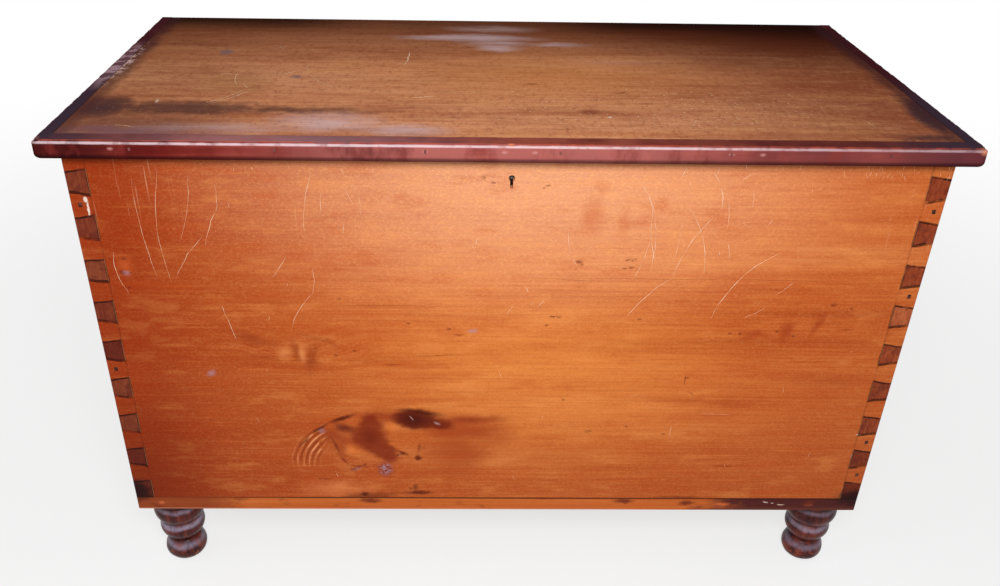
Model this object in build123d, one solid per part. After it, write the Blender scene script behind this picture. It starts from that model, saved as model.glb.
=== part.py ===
"""Sugar chest: a dovetailed cherry case on four turned feet, with a moulded lid, two butt hinges and a lock.

Millimetres, +Z up, the front towards -Y. The origin is on the floor under the middle of the whole chest,
with the hinge barrels counted in its depth.
"""

from build123d import *
import os

# Case
CASE_WIDTH = 965.0
CASE_DEPTH = 473.0
CASE_HEIGHT = 510.0
FRONT_THICKNESS = 24.0
BACK_THICKNESS = 24.0
SIDE_THICKNESS = 24.0
EDGE_EASE = 1.2
BOTTOM_THICKNESS = 21.0
BOTTOM_FRONT_BOARD_DEPTH = 250.0
BOTTOM_JOINT_GAP = 0.6

# Through dovetails: tails on the front and back boards, pins on the side boards
PIN_COUNT = 9
PIN_ROOT_HEIGHT = 30.0
PIN_TIP_HEIGHT = 23.0
TOP_TAIL_HEIGHT = 19.0

# Divider between the two bins, held in dadoes
DIVIDER_THICKNESS = 16.0
SMALL_BIN_WIDTH = 290.0
DIVIDER_DROP = 30.0
DADO_DEPTH = 8.0
DADO_CLEARANCE = 0.15

# Turned feet, measured down from the underside of the case
FOOT_HEIGHT = 115.0
FOOT_INSET = 40.0
FOOT_COLLAR_RADIUS = 33.0
FOOT_COLLAR_HEIGHT = 11.0
FOOT_RING_HEIGHT = 31.0
FOOT_UPPER_RING_RADIUS = 35.0
FOOT_UPPER_GROOVE_RADIUS = 28.5
FOOT_LOWER_RING_RADIUS = 30.5
FOOT_LOWER_GROOVE_RADIUS = 23.5
FOOT_NECK_RADIUS = 20.5
FOOT_NECK_HEIGHT = 7.0
FOOT_BALL_RADIUS = 28.5
FOOT_BALL_RISE = 16.0
FOOT_PAD_RADIUS = 11.0
TENON_RADIUS = 10.0
TENON_CLEARANCE = 0.1
WEDGE_DEPTH = 15.0
WEDGE_TOP = 2.4
WEDGE_TIP = 0.8

# Lid and the moulded strip round its front and ends
LID_THICKNESS = 22.0
LID_OVERHANG = 22.0
LID_CORNER_RADIUS = 7.0
STRIP_WIDTH = 20.0
MOULD_STEP = 1.5
MOULD_SHOULDER_RADIUS = 3.5
MOULD_UNDER_RADIUS = 5.5

# Cut nails
NAIL_FIT = 0.1
NAIL_TAPER = 0.6
CORNER_NAIL_LENGTH = 50.0
CORNER_NAIL_SHANK = 3.2
CORNER_NAIL_INSET = 10.0
BOTTOM_NAIL_LENGTH = 48.0
BOTTOM_NAIL_SHANK = 3.2
BOTTOM_NAIL_END = 120.0
BOTTOM_NAIL_COUNT = 5
STRIP_NAIL_LENGTH = 38.0
STRIP_NAIL_SHANK = 2.0
STRIP_NAIL_RISE = 13.0
STRIP_NAIL_X = (-400.0, -250.0, -93.0, 49.0, 229.0, 398.0)
STRIP_NAIL_END = 60.0
STRIP_NAIL_END_COUNT = 3

# Butt hinges
HINGE_INSET = 172.0
HINGE_LENGTH = 76.0
HINGE_LEAF_DEPTH = 19.0
HINGE_LEAF_THICKNESS = 2.0
HINGE_BARREL_RADIUS = 4.0
HINGE_BARREL_STANDOFF = 0.5
HINGE_PIN_RADIUS = 1.6
HINGE_PIN_FIT = 0.06
KNUCKLE_COUNT = 5
KNUCKLE_GAP = 0.4
HINGE_SCREW_COUNT = 3

# Countersunk wood screws
SCREW_HEAD_RADIUS = 3.8
SCREW_SHANK_RADIUS = 2.0
SCREW_HEAD_HEIGHT = 1.9
SCREW_FIT = 0.1
CASE_SCREW_LENGTH = 24.0
LID_SCREW_LENGTH = 17.0
LOCK_SCREW_LENGTH = 14.0

# Lock, let in to the inside of the front board
KEYHOLE_DROP = 25.5
KEYHOLE_RADIUS = 3.6
KEYHOLE_SLOT_WIDTH = 3.4
KEYHOLE_SLOT_DROP = 12.5
LOCK_PLATE_WIDTH = 108.0
LOCK_PLATE_HEIGHT = 62.0
LOCK_PLATE_THICKNESS = 2.0
SELVAGE_DEPTH = 19.0
SELVAGE_SINK = 0.2
LOCK_CAP_WIDTH = 84.0
LOCK_CAP_HEIGHT = 46.0
LOCK_CAP_DEPTH = 12.0
LOCK_CAP_WALL = 1.5
MORTISE_CLEARANCE = 0.4
KEY_POST_RADIUS = 1.5
KEY_POST_SETBACK = 2.5
BOLT_TRAVEL = 7.0
BOLT_THICKNESS = 3.4
BOLT_BAR_HEIGHT = 8.0
BOLT_BAR_DROP = 12.5
BOLT_ARM_WIDTH = 4.0
BOLT_CLEARANCE = 1.0
PRONG_HEIGHT = 3.6
STUD_RADIUS = 1.5
STUD_SPACING = 28.0
STUD_CLEARANCE = 0.3
TALON_WIDTH = 7.0
TALON_HEIGHT = 3.5
SPRING_WIDTH = 6.0
SPRING_THICKNESS = 0.8
SPRING_SPAN = 14.0
SPRING_X = -6.0
SPRING_CLEARANCE = 0.3

# Strike with two staples, let in to the underside of the lid
STRIKE_WIDTH = 84.0
STRIKE_DEPTH = 18.0
STRIKE_THICKNESS = 2.0
STRIKE_SINK = 0.2
STAPLE_SPACING = 40.0
STAPLE_THICKNESS = 3.0
STAPLE_DEPTH = 7.0
STAPLE_DROP = 11.0
STAPLE_RIM = 1.8
STAPLE_EYE_DEPTH = 4.6
STAPLE_SLOT_CLEARANCE = 1.0

# Planes that the pieces share
HINGE_AXIS_OFFSET = HINGE_BARREL_RADIUS + HINGE_BARREL_STANDOFF
OVERALL_DEPTH = LID_OVERHANG + CASE_DEPTH + HINGE_AXIS_OFFSET + HINGE_BARREL_RADIUS
FRONT_Y = LID_OVERHANG - OVERALL_DEPTH / 2
BACK_Y = FRONT_Y + CASE_DEPTH
FRONT_INNER_Y = FRONT_Y + FRONT_THICKNESS
BACK_INNER_Y = BACK_Y - BACK_THICKNESS
SIDE_X = CASE_WIDTH / 2
SIDE_INNER_X = SIDE_X - SIDE_THICKNESS
DIVIDER_X = SIDE_INNER_X - SMALL_BIN_WIDTH - DIVIDER_THICKNESS / 2
CASE_Z = FOOT_HEIGHT
FLOOR_Z = CASE_Z + BOTTOM_THICKNESS
TOP_Z = CASE_Z + CASE_HEIGHT
LID_TOP_Z = TOP_Z + LID_THICKNESS
LID_FRONT_Y = FRONT_Y - LID_OVERHANG
LID_SIDE_X = SIDE_X + LID_OVERHANG
LID_BOARD_X = LID_SIDE_X - STRIP_WIDTH
LID_BOARD_Y = LID_FRONT_Y + STRIP_WIDTH
BOTTOM_SPLIT_Y = FRONT_Y + BOTTOM_FRONT_BOARD_DEPTH
HINGE_Y = BACK_Y + HINGE_AXIS_OFFSET
HINGE_LEAF_Y = BACK_Y - HINGE_LEAF_DEPTH / 2
LOCK_BACK_Y = FRONT_INNER_Y - LOCK_PLATE_THICKNESS
LOCK_CAVITY_DEPTH = LOCK_CAP_DEPTH - LOCK_CAP_WALL
LOCK_Y = LOCK_BACK_Y - LOCK_CAVITY_DEPTH / 2
SELVAGE_TOP_Z = TOP_Z - SELVAGE_SINK
SELVAGE_Z = SELVAGE_TOP_Z - LOCK_PLATE_THICKNESS
KEYHOLE_Z = TOP_Z - KEYHOLE_DROP
BAR_TOP_Z = SELVAGE_Z - BOLT_BAR_DROP
BAR_Z = BAR_TOP_Z - BOLT_BAR_HEIGHT
STUD_Z = (BAR_Z + BAR_TOP_Z) / 2
STRIKE_Z = TOP_Z + STRIKE_SINK
STAPLE_FOOT_Z = SELVAGE_Z - STAPLE_DROP
STAPLE_EYE_TOP_Z = SELVAGE_Z - STAPLE_RIM
PRONG_Z = (STAPLE_FOOT_Z + STAPLE_RIM + STAPLE_EYE_TOP_Z) / 2


def block(x0, x1, y0, y1, z0, z1):
    """A rectangular block between two planes on each axis."""
    middle = Pos((x0 + x1) / 2, (y0 + y1) / 2, (z0 + z1) / 2)
    return middle * Box(x1 - x0, y1 - y0, z1 - z0)


def rod(radius, start, direction, length):
    """A round rod from a point along a direction."""
    return Part() + Solid.make_cylinder(radius, length, Plane(start, z_dir=direction))


def prism(points, direction, length):
    """The polygon through the points, pushed along a direction."""
    outline = make_face(Polyline(*points, close=True))
    return extrude(outline, amount=length, dir=direction)


def joined(pieces):
    """One shape from many, each solid kept."""
    return Part() + list(pieces)


def group(pieces):
    """Separate solids that share a node."""
    return Compound([solid for piece in pieces for solid in piece.solids()])


def nail(start, direction, length, shank, fit=0.0):
    """A cut nail: a square tapered shank with a flat rectangular head, or its hole when a fit is given."""
    plane = Plane(start, z_dir=direction)
    head = plane * Rectangle(1.7 * shank + 2 * fit, 1.3 * shank + 2 * fit)
    body = plane * Rectangle(shank + 2 * fit, shank + 2 * fit)
    return extrude(head, amount=0.4 * shank) + extrude(body, amount=length + fit, taper=NAIL_TAPER)


def screw(start, direction, length, fit=0.0):
    """A countersunk screw whose head starts flush at a point, or its hole when a fit is given."""
    plane = Plane(start, z_dir=direction)
    head = Solid.make_cone(SCREW_HEAD_RADIUS + fit, SCREW_SHANK_RADIUS + fit, SCREW_HEAD_HEIGHT, plane)
    shank = Solid.make_cylinder(SCREW_SHANK_RADIUS + fit, length + fit, plane)
    return Part() + [head, shank]


def case_envelope():
    """The outside of the case with its upright corners and lower edges eased."""
    outside = block(-SIDE_X, SIDE_X, FRONT_Y, BACK_Y, CASE_Z, TOP_Z)
    eased = outside.edges().filter_by(Axis.Z) + outside.edges().group_by(Axis.Z)[0]
    return fillet(eased, EDGE_EASE)


# ---- Dovetails ----

def pin_heights():
    """Centre height of each full pin, from the top down; the lowest pin is a half pin on the board's edge."""
    first = TOP_Z - TOP_TAIL_HEIGHT - PIN_ROOT_HEIGHT / 2
    last = FLOOR_Z + PIN_ROOT_HEIGHT / 2
    pitch = (first - last) / (PIN_COUNT - 1)
    return [first - k * pitch for k in range(PIN_COUNT)]


def tail_height(index):
    """Centre height of the tail below a pin."""
    heights = pin_heights()
    return (heights[index] + heights[index + 1]) / 2


def pin_outline(side, z, lowest):
    """The four corners of a pin's end grain: wide at its root inside, narrow at the outer face."""
    root, tip = PIN_ROOT_HEIGHT / 2, PIN_TIP_HEIGHT / 2
    foot = -root if lowest else -tip
    return [
        (side * SIDE_INNER_X, FRONT_Y, z - root),
        (side * SIDE_X, FRONT_Y, z + foot),
        (side * SIDE_X, FRONT_Y, z + tip),
        (side * SIDE_INNER_X, FRONT_Y, z + root),
    ]


def corner_pins(side, y, thickness):
    """All the pins at one corner, through the board whose outer face is at y."""
    pins = []
    for k, z in enumerate(pin_heights()):
        outline = pin_outline(side, z, lowest=(k == PIN_COUNT - 1))
        pins.append(Pos(0, y - FRONT_Y, 0) * prism(outline, (0, 1, 0), thickness))
    return joined(pins)


# ---- Fasteners' places ----

def corner_nail_cuts(fit=0.0):
    """Nails through some tails of the front board, counted from the top, into the ends of the side boards."""
    x = SIDE_X - CORNER_NAIL_INSET
    return [
        nail((side * x, FRONT_Y, tail_height(k)), (0, 1, 0), CORNER_NAIL_LENGTH, CORNER_NAIL_SHANK, fit)
        for side, tails in ((-1, (0, 4)), (1, (0, 2, 6, 7)))
        for k in tails
    ]


def bottom_nail_places():
    """Where the bottom boards are nailed up into the case."""
    span = CASE_WIDTH - 2 * BOTTOM_NAIL_END
    pitch = span / (BOTTOM_NAIL_COUNT - 1)
    places = []
    for y in (FRONT_Y + FRONT_THICKNESS / 2, BACK_Y - BACK_THICKNESS / 2):
        places += [(-span / 2 + k * pitch, y) for k in range(BOTTOM_NAIL_COUNT)]
    for side in (-1, 1):
        for y in ((FRONT_Y + 2 * BOTTOM_SPLIT_Y) / 3, (2 * BOTTOM_SPLIT_Y + BACK_Y) / 3):
            places.append((side * (SIDE_X - SIDE_THICKNESS / 2), y))
    return places


def bottom_nail_cuts(fit=0.0):
    return [
        nail((x, y, CASE_Z), (0, 0, 1), BOTTOM_NAIL_LENGTH, BOTTOM_NAIL_SHANK, fit)
        for x, y in bottom_nail_places()
    ]


def strip_nail_cuts(fit=0.0):
    """Nails through the lid's strips into the edges of the lid board."""
    z = TOP_Z + STRIP_NAIL_RISE
    cuts = [
        nail((x, LID_FRONT_Y, z), (0, 1, 0), STRIP_NAIL_LENGTH, STRIP_NAIL_SHANK, fit)
        for x in STRIP_NAIL_X
    ]
    first, last = LID_BOARD_Y + STRIP_NAIL_END, BACK_Y - STRIP_NAIL_END
    pitch = (last - first) / (STRIP_NAIL_END_COUNT - 1)
    for side in (-1, 1):
        for k in range(STRIP_NAIL_END_COUNT):
            start = (side * LID_SIDE_X, first + k * pitch, z)
            cuts.append(nail(start, (-side, 0, 0), STRIP_NAIL_LENGTH, STRIP_NAIL_SHANK, fit))
    return cuts


def hinge_centres():
    x = SIDE_X - HINGE_INSET
    return (-x, x)


def hinge_screw_cuts(up, fit=0.0):
    """Screws down into the back board, or up into the lid."""
    pitch = HINGE_LENGTH / HINGE_SCREW_COUNT
    length = LID_SCREW_LENGTH if up else CASE_SCREW_LENGTH
    cuts = []
    for centre in hinge_centres():
        for k in range(HINGE_SCREW_COUNT):
            x = centre + (k - (HINGE_SCREW_COUNT - 1) / 2) * pitch
            cuts.append(screw((x, HINGE_LEAF_Y, TOP_Z), (0, 0, 1 if up else -1), length, fit))
    return cuts


def lock_screw_cuts(fit=0.0):
    """Four screws through the lock plate into the front board."""
    x = (LOCK_PLATE_WIDTH + LOCK_CAP_WIDTH) / 4
    z = TOP_Z - LOCK_PLATE_HEIGHT / 2
    rise = LOCK_PLATE_HEIGHT / 3
    return [
        screw((side * x, FRONT_INNER_Y, z + level * rise), (0, -1, 0), LOCK_SCREW_LENGTH, fit)
        for side in (-1, 1)
        for level in (-1, 1)
    ]


def strike_screw_cuts(fit=0.0):
    x = (STRIKE_WIDTH + STAPLE_SPACING + STAPLE_THICKNESS) / 4
    return [
        screw((side * x, LOCK_Y, STRIKE_Z), (0, 0, 1), LID_SCREW_LENGTH, fit)
        for side in (-1, 1)
    ]


# ---- Case ----

def foot_places():
    """Front left, front right, back left and back right."""
    x = SIDE_X - FOOT_INSET
    return [(side * x, y) for y in (FRONT_Y + FOOT_INSET, BACK_Y - FOOT_INSET) for side in (-1, 1)]


def keyhole(y, depth):
    """A round hole over a slot for the key's bit, from a plane towards the back."""
    round_hole = rod(KEYHOLE_RADIUS, (0, y, KEYHOLE_Z), (0, 1, 0), depth)
    half = KEYHOLE_SLOT_WIDTH / 2
    slot = block(-half, half, y, y + depth, KEYHOLE_Z - KEYHOLE_SLOT_DROP, KEYHOLE_Z)
    return round_hole + slot


def lock_mortise():
    """The pocket for the lock: the cap's recess, the plate's shallow one and the selvage's along the top."""
    gap = MORTISE_CLEARANCE
    half_cap, half_plate = LOCK_CAP_WIDTH / 2 + gap, LOCK_PLATE_WIDTH / 2
    deep_y = LOCK_BACK_Y - LOCK_CAP_DEPTH - gap
    cap_z = SELVAGE_Z - LOCK_CAP_HEIGHT - gap
    deep = block(-half_cap, half_cap, deep_y, FRONT_INNER_Y, cap_z, SELVAGE_Z)
    shallow = block(-half_plate, half_plate, LOCK_BACK_Y, FRONT_INNER_Y, TOP_Z - LOCK_PLATE_HEIGHT, TOP_Z)
    edge = block(-half_plate, half_plate, FRONT_INNER_Y - SELVAGE_DEPTH, FRONT_INNER_Y, SELVAGE_Z, TOP_Z)
    return deep + shallow + edge


def dado(y0, y1):
    """The groove for the divider, open at the board's lower edge."""
    half = DIVIDER_THICKNESS / 2 + DADO_CLEARANCE
    return block(DIVIDER_X - half, DIVIDER_X + half, y0, y1, FLOOR_Z, TOP_Z - DIVIDER_DROP)


def front_board():
    board = block(-SIDE_X, SIDE_X, FRONT_Y, FRONT_INNER_Y, FLOOR_Z, TOP_Z) & case_envelope()
    for side in (-1, 1):
        board -= corner_pins(side, FRONT_Y, FRONT_THICKNESS)
    board -= dado(FRONT_INNER_Y - DADO_DEPTH, FRONT_INNER_Y)
    board -= lock_mortise()
    board -= keyhole(FRONT_Y, FRONT_THICKNESS)
    return board - corner_nail_cuts(NAIL_FIT) - bottom_nail_cuts(NAIL_FIT) - lock_screw_cuts(SCREW_FIT)


def hinge_gain(z0, z1):
    """The recesses for one side's two hinge leaves."""
    half = HINGE_LENGTH / 2
    y0 = BACK_Y - HINGE_LEAF_DEPTH
    return joined(block(x - half, x + half, y0, BACK_Y, z0, z1) for x in hinge_centres())


def back_board():
    board = block(-SIDE_X, SIDE_X, BACK_INNER_Y, BACK_Y, FLOOR_Z, TOP_Z) & case_envelope()
    for side in (-1, 1):
        board -= corner_pins(side, BACK_INNER_Y, BACK_THICKNESS)
    board -= dado(BACK_INNER_Y, BACK_INNER_Y + DADO_DEPTH)
    board -= hinge_gain(TOP_Z - HINGE_LEAF_THICKNESS, TOP_Z)
    return board - bottom_nail_cuts(NAIL_FIT) - hinge_screw_cuts(False, SCREW_FIT)


def side_board(side):
    x0, x1 = sorted((side * SIDE_INNER_X, side * SIDE_X))
    board = block(x0, x1, FRONT_INNER_Y, BACK_INNER_Y, FLOOR_Z, TOP_Z)
    board += corner_pins(side, FRONT_Y, FRONT_THICKNESS)
    board += corner_pins(side, BACK_INNER_Y, BACK_THICKNESS)
    board = board & case_envelope()
    return board - corner_nail_cuts(NAIL_FIT) - bottom_nail_cuts(NAIL_FIT)


def bottom_board(y0, y1):
    board = block(-SIDE_X, SIDE_X, y0, y1, CASE_Z, FLOOR_Z) & case_envelope()
    for x, y in foot_places():
        board -= rod(TENON_RADIUS + TENON_CLEARANCE, (x, y, CASE_Z), (0, 0, 1), BOTTOM_THICKNESS)
    return board - bottom_nail_cuts(NAIL_FIT)


def bin_divider():
    half = DIVIDER_THICKNESS / 2
    reach = DADO_DEPTH - DADO_CLEARANCE
    y0, y1 = FRONT_INNER_Y - reach, BACK_INNER_Y + reach
    return block(DIVIDER_X - half, DIVIDER_X + half, y0, y1, FLOOR_Z, TOP_Z - DIVIDER_DROP - DADO_CLEARANCE)


# ---- Feet ----

def ring_outline(groove, radius, low_z, high_z):
    """One turned ring: an arc bulging out of the grooves above and below it."""
    return ThreePointArc((groove, low_z), (radius, (low_z + high_z) / 2), (groove, high_z))


def foot_profile():
    """Half the turned outline: x is the radius and y the height above the foot's pad."""
    collar_z = FOOT_HEIGHT - FOOT_COLLAR_HEIGHT
    upper_z = collar_z - FOOT_RING_HEIGHT
    lower_z = upper_z - FOOT_RING_HEIGHT
    waist = (FOOT_NECK_RADIUS, lower_z - FOOT_NECK_HEIGHT)
    widest = (FOOT_BALL_RADIUS, FOOT_BALL_RISE)
    return make_face([
        Line((0, 0), (FOOT_PAD_RADIUS, 0)),
        TangentArc(widest, (FOOT_PAD_RADIUS, 0), tangent=(0, -1)),
        TangentArc(widest, waist, tangent=(0, 1)),
        Line(waist, (FOOT_LOWER_GROOVE_RADIUS, lower_z)),
        ring_outline(FOOT_LOWER_GROOVE_RADIUS, FOOT_LOWER_RING_RADIUS, lower_z, upper_z),
        Line((FOOT_LOWER_GROOVE_RADIUS, upper_z), (FOOT_UPPER_GROOVE_RADIUS, upper_z)),
        ring_outline(FOOT_UPPER_GROOVE_RADIUS, FOOT_UPPER_RING_RADIUS, upper_z, collar_z),
        Line((FOOT_UPPER_GROOVE_RADIUS, collar_z), (FOOT_COLLAR_RADIUS, collar_z)),
        Line((FOOT_COLLAR_RADIUS, collar_z), (FOOT_COLLAR_RADIUS, FOOT_HEIGHT)),
        Polyline((FOOT_COLLAR_RADIUS, FOOT_HEIGHT), (0, FOOT_HEIGHT), (0, 0)),
    ])


def wedge(x, y):
    """The tapered wedge across the grain in a foot's tenon, longer than the tenon is wide."""
    top, tip = WEDGE_TOP / 2, WEDGE_TIP / 2
    start = y - 2 * TENON_RADIUS
    low = FLOOR_Z - WEDGE_DEPTH
    outline = [
        (x - tip, start, low),
        (x + tip, start, low),
        (x + top, start, FLOOR_Z),
        (x - top, start, FLOOR_Z),
    ]
    return prism(outline, (0, 1, 0), 4 * TENON_RADIUS)


def foot(x, y):
    turning = Pos(x, y, 0) * revolve(Plane.XZ * foot_profile(), Axis.Z)
    tenon = rod(TENON_RADIUS, (x, y, CASE_Z), (0, 0, 1), BOTTOM_THICKNESS)
    return turning + (tenon - wedge(x, y))


def foot_wedges():
    wedges = []
    for x, y in foot_places():
        tenon = rod(TENON_RADIUS, (x, y, CASE_Z), (0, 0, 1), BOTTOM_THICKNESS)
        wedges.append(wedge(x, y) & tenon)
    return group(wedges)


# ---- Lid ----

def moulding():
    """The strip's section: x runs outwards from the lid board and y up from the lid's underside."""
    under_start = (STRIP_WIDTH - MOULD_UNDER_RADIUS, 0)
    under_end = (STRIP_WIDTH, MOULD_UNDER_RADIUS)
    ledge_y = LID_THICKNESS - MOULD_STEP
    shoulder_start = (STRIP_WIDTH, ledge_y - MOULD_SHOULDER_RADIUS)
    shoulder_end = (STRIP_WIDTH - MOULD_SHOULDER_RADIUS, ledge_y)
    return make_face([
        Line((0, 0), under_start),
        RadiusArc(under_start, under_end, -MOULD_UNDER_RADIUS),
        Line(under_end, shoulder_start),
        RadiusArc(shoulder_start, shoulder_end, -MOULD_SHOULDER_RADIUS),
        Polyline(shoulder_end, (shoulder_end[0], LID_THICKNESS), (0, LID_THICKNESS), (0, 0)),
    ])


def mitre(side, far_x, far_y):
    """The triangle beyond the mitre line at a front corner, on the side of a third point."""
    inner = (side * LID_BOARD_X, LID_BOARD_Y, TOP_Z)
    outer = (side * LID_SIDE_X, LID_FRONT_Y, TOP_Z)
    return prism([inner, outer, (far_x, far_y, TOP_Z)], (0, 0, 1), LID_THICKNESS)


def lid_envelope():
    """The outside of the lid, with its two front corners rounded off by wear."""
    outside = block(-LID_SIDE_X, LID_SIDE_X, LID_FRONT_Y, BACK_Y, TOP_Z, LID_TOP_Z)
    front_corners = outside.edges().filter_by(Axis.Z).group_by(Axis.Y)[0]
    return fillet(front_corners, LID_CORNER_RADIUS)


def lid_front_strip():
    section = Plane((LID_SIDE_X, LID_BOARD_Y, TOP_Z), x_dir=(0, -1, 0), z_dir=(-1, 0, 0)) * moulding()
    strip = extrude(section, amount=2 * LID_SIDE_X)
    for side in (-1, 1):
        strip -= mitre(side, side * LID_SIDE_X, LID_BOARD_Y)
    return (strip & lid_envelope()) - strip_nail_cuts(NAIL_FIT)


def lid_end_strip(side):
    start_y = BACK_Y if side > 0 else LID_FRONT_Y
    start = Plane((side * LID_BOARD_X, start_y, TOP_Z), x_dir=(side, 0, 0), z_dir=(0, -side, 0))
    strip = extrude(start * moulding(), amount=BACK_Y - LID_FRONT_Y)
    strip -= mitre(side, side * LID_BOARD_X, LID_FRONT_Y)
    return (strip & lid_envelope()) - strip_nail_cuts(NAIL_FIT)


def strike_plate(z0, z1):
    """The strike's plate between two heights, or its recess."""
    half = STRIKE_WIDTH / 2
    return block(-half, half, LOCK_Y - STRIKE_DEPTH / 2, LOCK_Y + STRIKE_DEPTH / 2, z0, z1)


def lid_board():
    board = block(-LID_BOARD_X, LID_BOARD_X, LID_BOARD_Y, BACK_Y, TOP_Z, LID_TOP_Z)
    back_edges = board.edges().filter_by(Axis.X).group_by(Axis.Y)[-1]
    board = fillet(back_edges.sort_by(Axis.Z)[-1], EDGE_EASE)
    board -= hinge_gain(TOP_Z, TOP_Z + HINGE_LEAF_THICKNESS)
    board -= strike_plate(TOP_Z, STRIKE_Z + STRIKE_THICKNESS)
    board -= strip_nail_cuts(NAIL_FIT)
    return board - hinge_screw_cuts(True, SCREW_FIT) - strike_screw_cuts(SCREW_FIT)


# ---- Hinges ----

def knuckle(centre, index, z0, z1):
    """One knuckle with the web that joins it to its leaf."""
    pitch = HINGE_LENGTH / KNUCKLE_COUNT
    x0 = centre - HINGE_LENGTH / 2 + index * pitch + KNUCKLE_GAP / 2
    x1 = x0 + pitch - KNUCKLE_GAP
    barrel = rod(HINGE_BARREL_RADIUS, (x0, HINGE_Y, TOP_Z), (1, 0, 0), x1 - x0)
    return barrel + block(x0, x1, BACK_Y, HINGE_Y, z0, z1)


def hinge_leaf(centre, on_lid):
    """A leaf flush with the meeting plane of case and lid; the lid's takes the odd knuckles."""
    z0, z1 = (TOP_Z, TOP_Z + HINGE_LEAF_THICKNESS) if on_lid else (TOP_Z - HINGE_LEAF_THICKNESS, TOP_Z)
    half = HINGE_LENGTH / 2
    leaf = block(centre - half, centre + half, BACK_Y - HINGE_LEAF_DEPTH, BACK_Y, z0, z1)
    for index in range(1 if on_lid else 0, KNUCKLE_COUNT, 2):
        leaf += knuckle(centre, index, z0, z1)
    leaf -= rod(HINGE_PIN_RADIUS + HINGE_PIN_FIT, (centre - half, HINGE_Y, TOP_Z), (1, 0, 0), HINGE_LENGTH)
    return leaf - hinge_screw_cuts(on_lid, SCREW_FIT)


def hinge_pin(centre):
    return rod(HINGE_PIN_RADIUS, (centre - HINGE_LENGTH / 2, HINGE_Y, TOP_Z), (1, 0, 0), HINGE_LENGTH)


# ---- Lock ----

def staple_centres():
    return (-STAPLE_SPACING / 2, STAPLE_SPACING / 2)


def lock_plate():
    """The back plate with the selvage folded over the top edge of the front board."""
    half = LOCK_PLATE_WIDTH / 2
    back = block(-half, half, LOCK_BACK_Y, FRONT_INNER_Y, TOP_Z - LOCK_PLATE_HEIGHT, SELVAGE_TOP_Z)
    selvage = block(-half, half, FRONT_INNER_Y - SELVAGE_DEPTH, FRONT_INNER_Y, SELVAGE_Z, SELVAGE_TOP_Z)
    plate = back + selvage
    half_x = STAPLE_THICKNESS / 2 + STAPLE_SLOT_CLEARANCE
    half_y = STAPLE_DEPTH / 2 + STAPLE_SLOT_CLEARANCE
    for x in staple_centres():
        plate -= block(x - half_x, x + half_x, LOCK_Y - half_y, LOCK_Y + half_y, SELVAGE_Z, SELVAGE_TOP_Z)
    return plate - lock_screw_cuts(SCREW_FIT)


def lock_cap():
    """The box over the works, open to the back plate and up to the selvage."""
    half = LOCK_CAP_WIDTH / 2
    front = LOCK_BACK_Y - LOCK_CAP_DEPTH
    low = SELVAGE_Z - LOCK_CAP_HEIGHT
    wall = LOCK_CAP_WALL
    shell = block(-half, half, front, LOCK_BACK_Y, low, SELVAGE_Z)
    shell -= block(wall - half, half - wall, front + wall, LOCK_BACK_Y, low + wall, SELVAGE_Z)
    return shell - keyhole(front, wall)


def lock_key_post():
    """The post that the hollow key turns on, riveted to the back plate."""
    tip_y = FRONT_Y + KEY_POST_SETBACK
    return rod(KEY_POST_RADIUS, (0, tip_y, KEYHOLE_Z), (0, 1, 0), LOCK_BACK_Y - tip_y)


def stud_places():
    return (-STUD_SPACING / 2, STUD_SPACING / 2)


def lock_bolt_studs():
    """Two studs across the works that carry the bolt in its slots."""
    return group(
        rod(STUD_RADIUS, (x, LOCK_BACK_Y, STUD_Z), (0, -1, 0), LOCK_CAVITY_DEPTH)
        for x in stud_places()
    )


def lock_bolt():
    """The sliding bolt, drawn back: a bar with two arms whose prongs pass through the staples."""
    y0, y1 = LOCK_Y - BOLT_THICKNESS / 2, LOCK_Y + BOLT_THICKNESS / 2
    reach = STAPLE_THICKNESS / 2 + BOLT_CLEARANCE
    arm_x0 = [x - reach - BOLT_TRAVEL - BOLT_ARM_WIDTH for x in staple_centres()]
    bar_x1 = STUD_SPACING / 2 + STUD_RADIUS + BOLT_ARM_WIDTH
    bolt = block(arm_x0[0], bar_x1, y0, y1, BAR_Z, BAR_TOP_Z)
    prong_z0, prong_z1 = PRONG_Z - PRONG_HEIGHT / 2, PRONG_Z + PRONG_HEIGHT / 2
    for x0, staple_x in zip(arm_x0, staple_centres()):
        bolt += block(x0, x0 + BOLT_ARM_WIDTH, y0, y1, BAR_TOP_Z, prong_z1)
        bolt += block(x0, staple_x - reach, y0, y1, prong_z0, prong_z1)
    room = STUD_RADIUS + STUD_CLEARANCE
    for x in stud_places():
        bolt -= block(x - BOLT_TRAVEL - room, x + room, y0, y1, STUD_Z - room, STUD_Z + room)
    talon_x = -BOLT_TRAVEL / 2
    return bolt - block(
        talon_x - TALON_WIDTH / 2, talon_x + TALON_WIDTH / 2, y0, y1, BAR_Z, BAR_Z + TALON_HEIGHT
    )


def lock_spring():
    """A bowed leaf between the selvage and the top of the bolt."""
    low_z = BAR_TOP_Z + SPRING_CLEARANCE
    x0, x1 = SPRING_X - SPRING_SPAN / 2, SPRING_X + SPRING_SPAN / 2
    inner_x0, inner_x1 = x0 + SPRING_THICKNESS, x1 - SPRING_THICKNESS
    y = LOCK_Y - SPRING_WIDTH / 2
    inner_z = low_z + SPRING_THICKNESS
    outline = make_face([
        ThreePointArc((x0, y, SELVAGE_Z), (SPRING_X, y, low_z), (x1, y, SELVAGE_Z)),
        Line((x1, y, SELVAGE_Z), (inner_x1, y, SELVAGE_Z)),
        ThreePointArc((inner_x1, y, SELVAGE_Z), (SPRING_X, y, inner_z), (inner_x0, y, SELVAGE_Z)),
        Line((inner_x0, y, SELVAGE_Z), (x0, y, SELVAGE_Z)),
    ])
    return extrude(outline, amount=SPRING_WIDTH, dir=(0, 1, 0))


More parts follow.
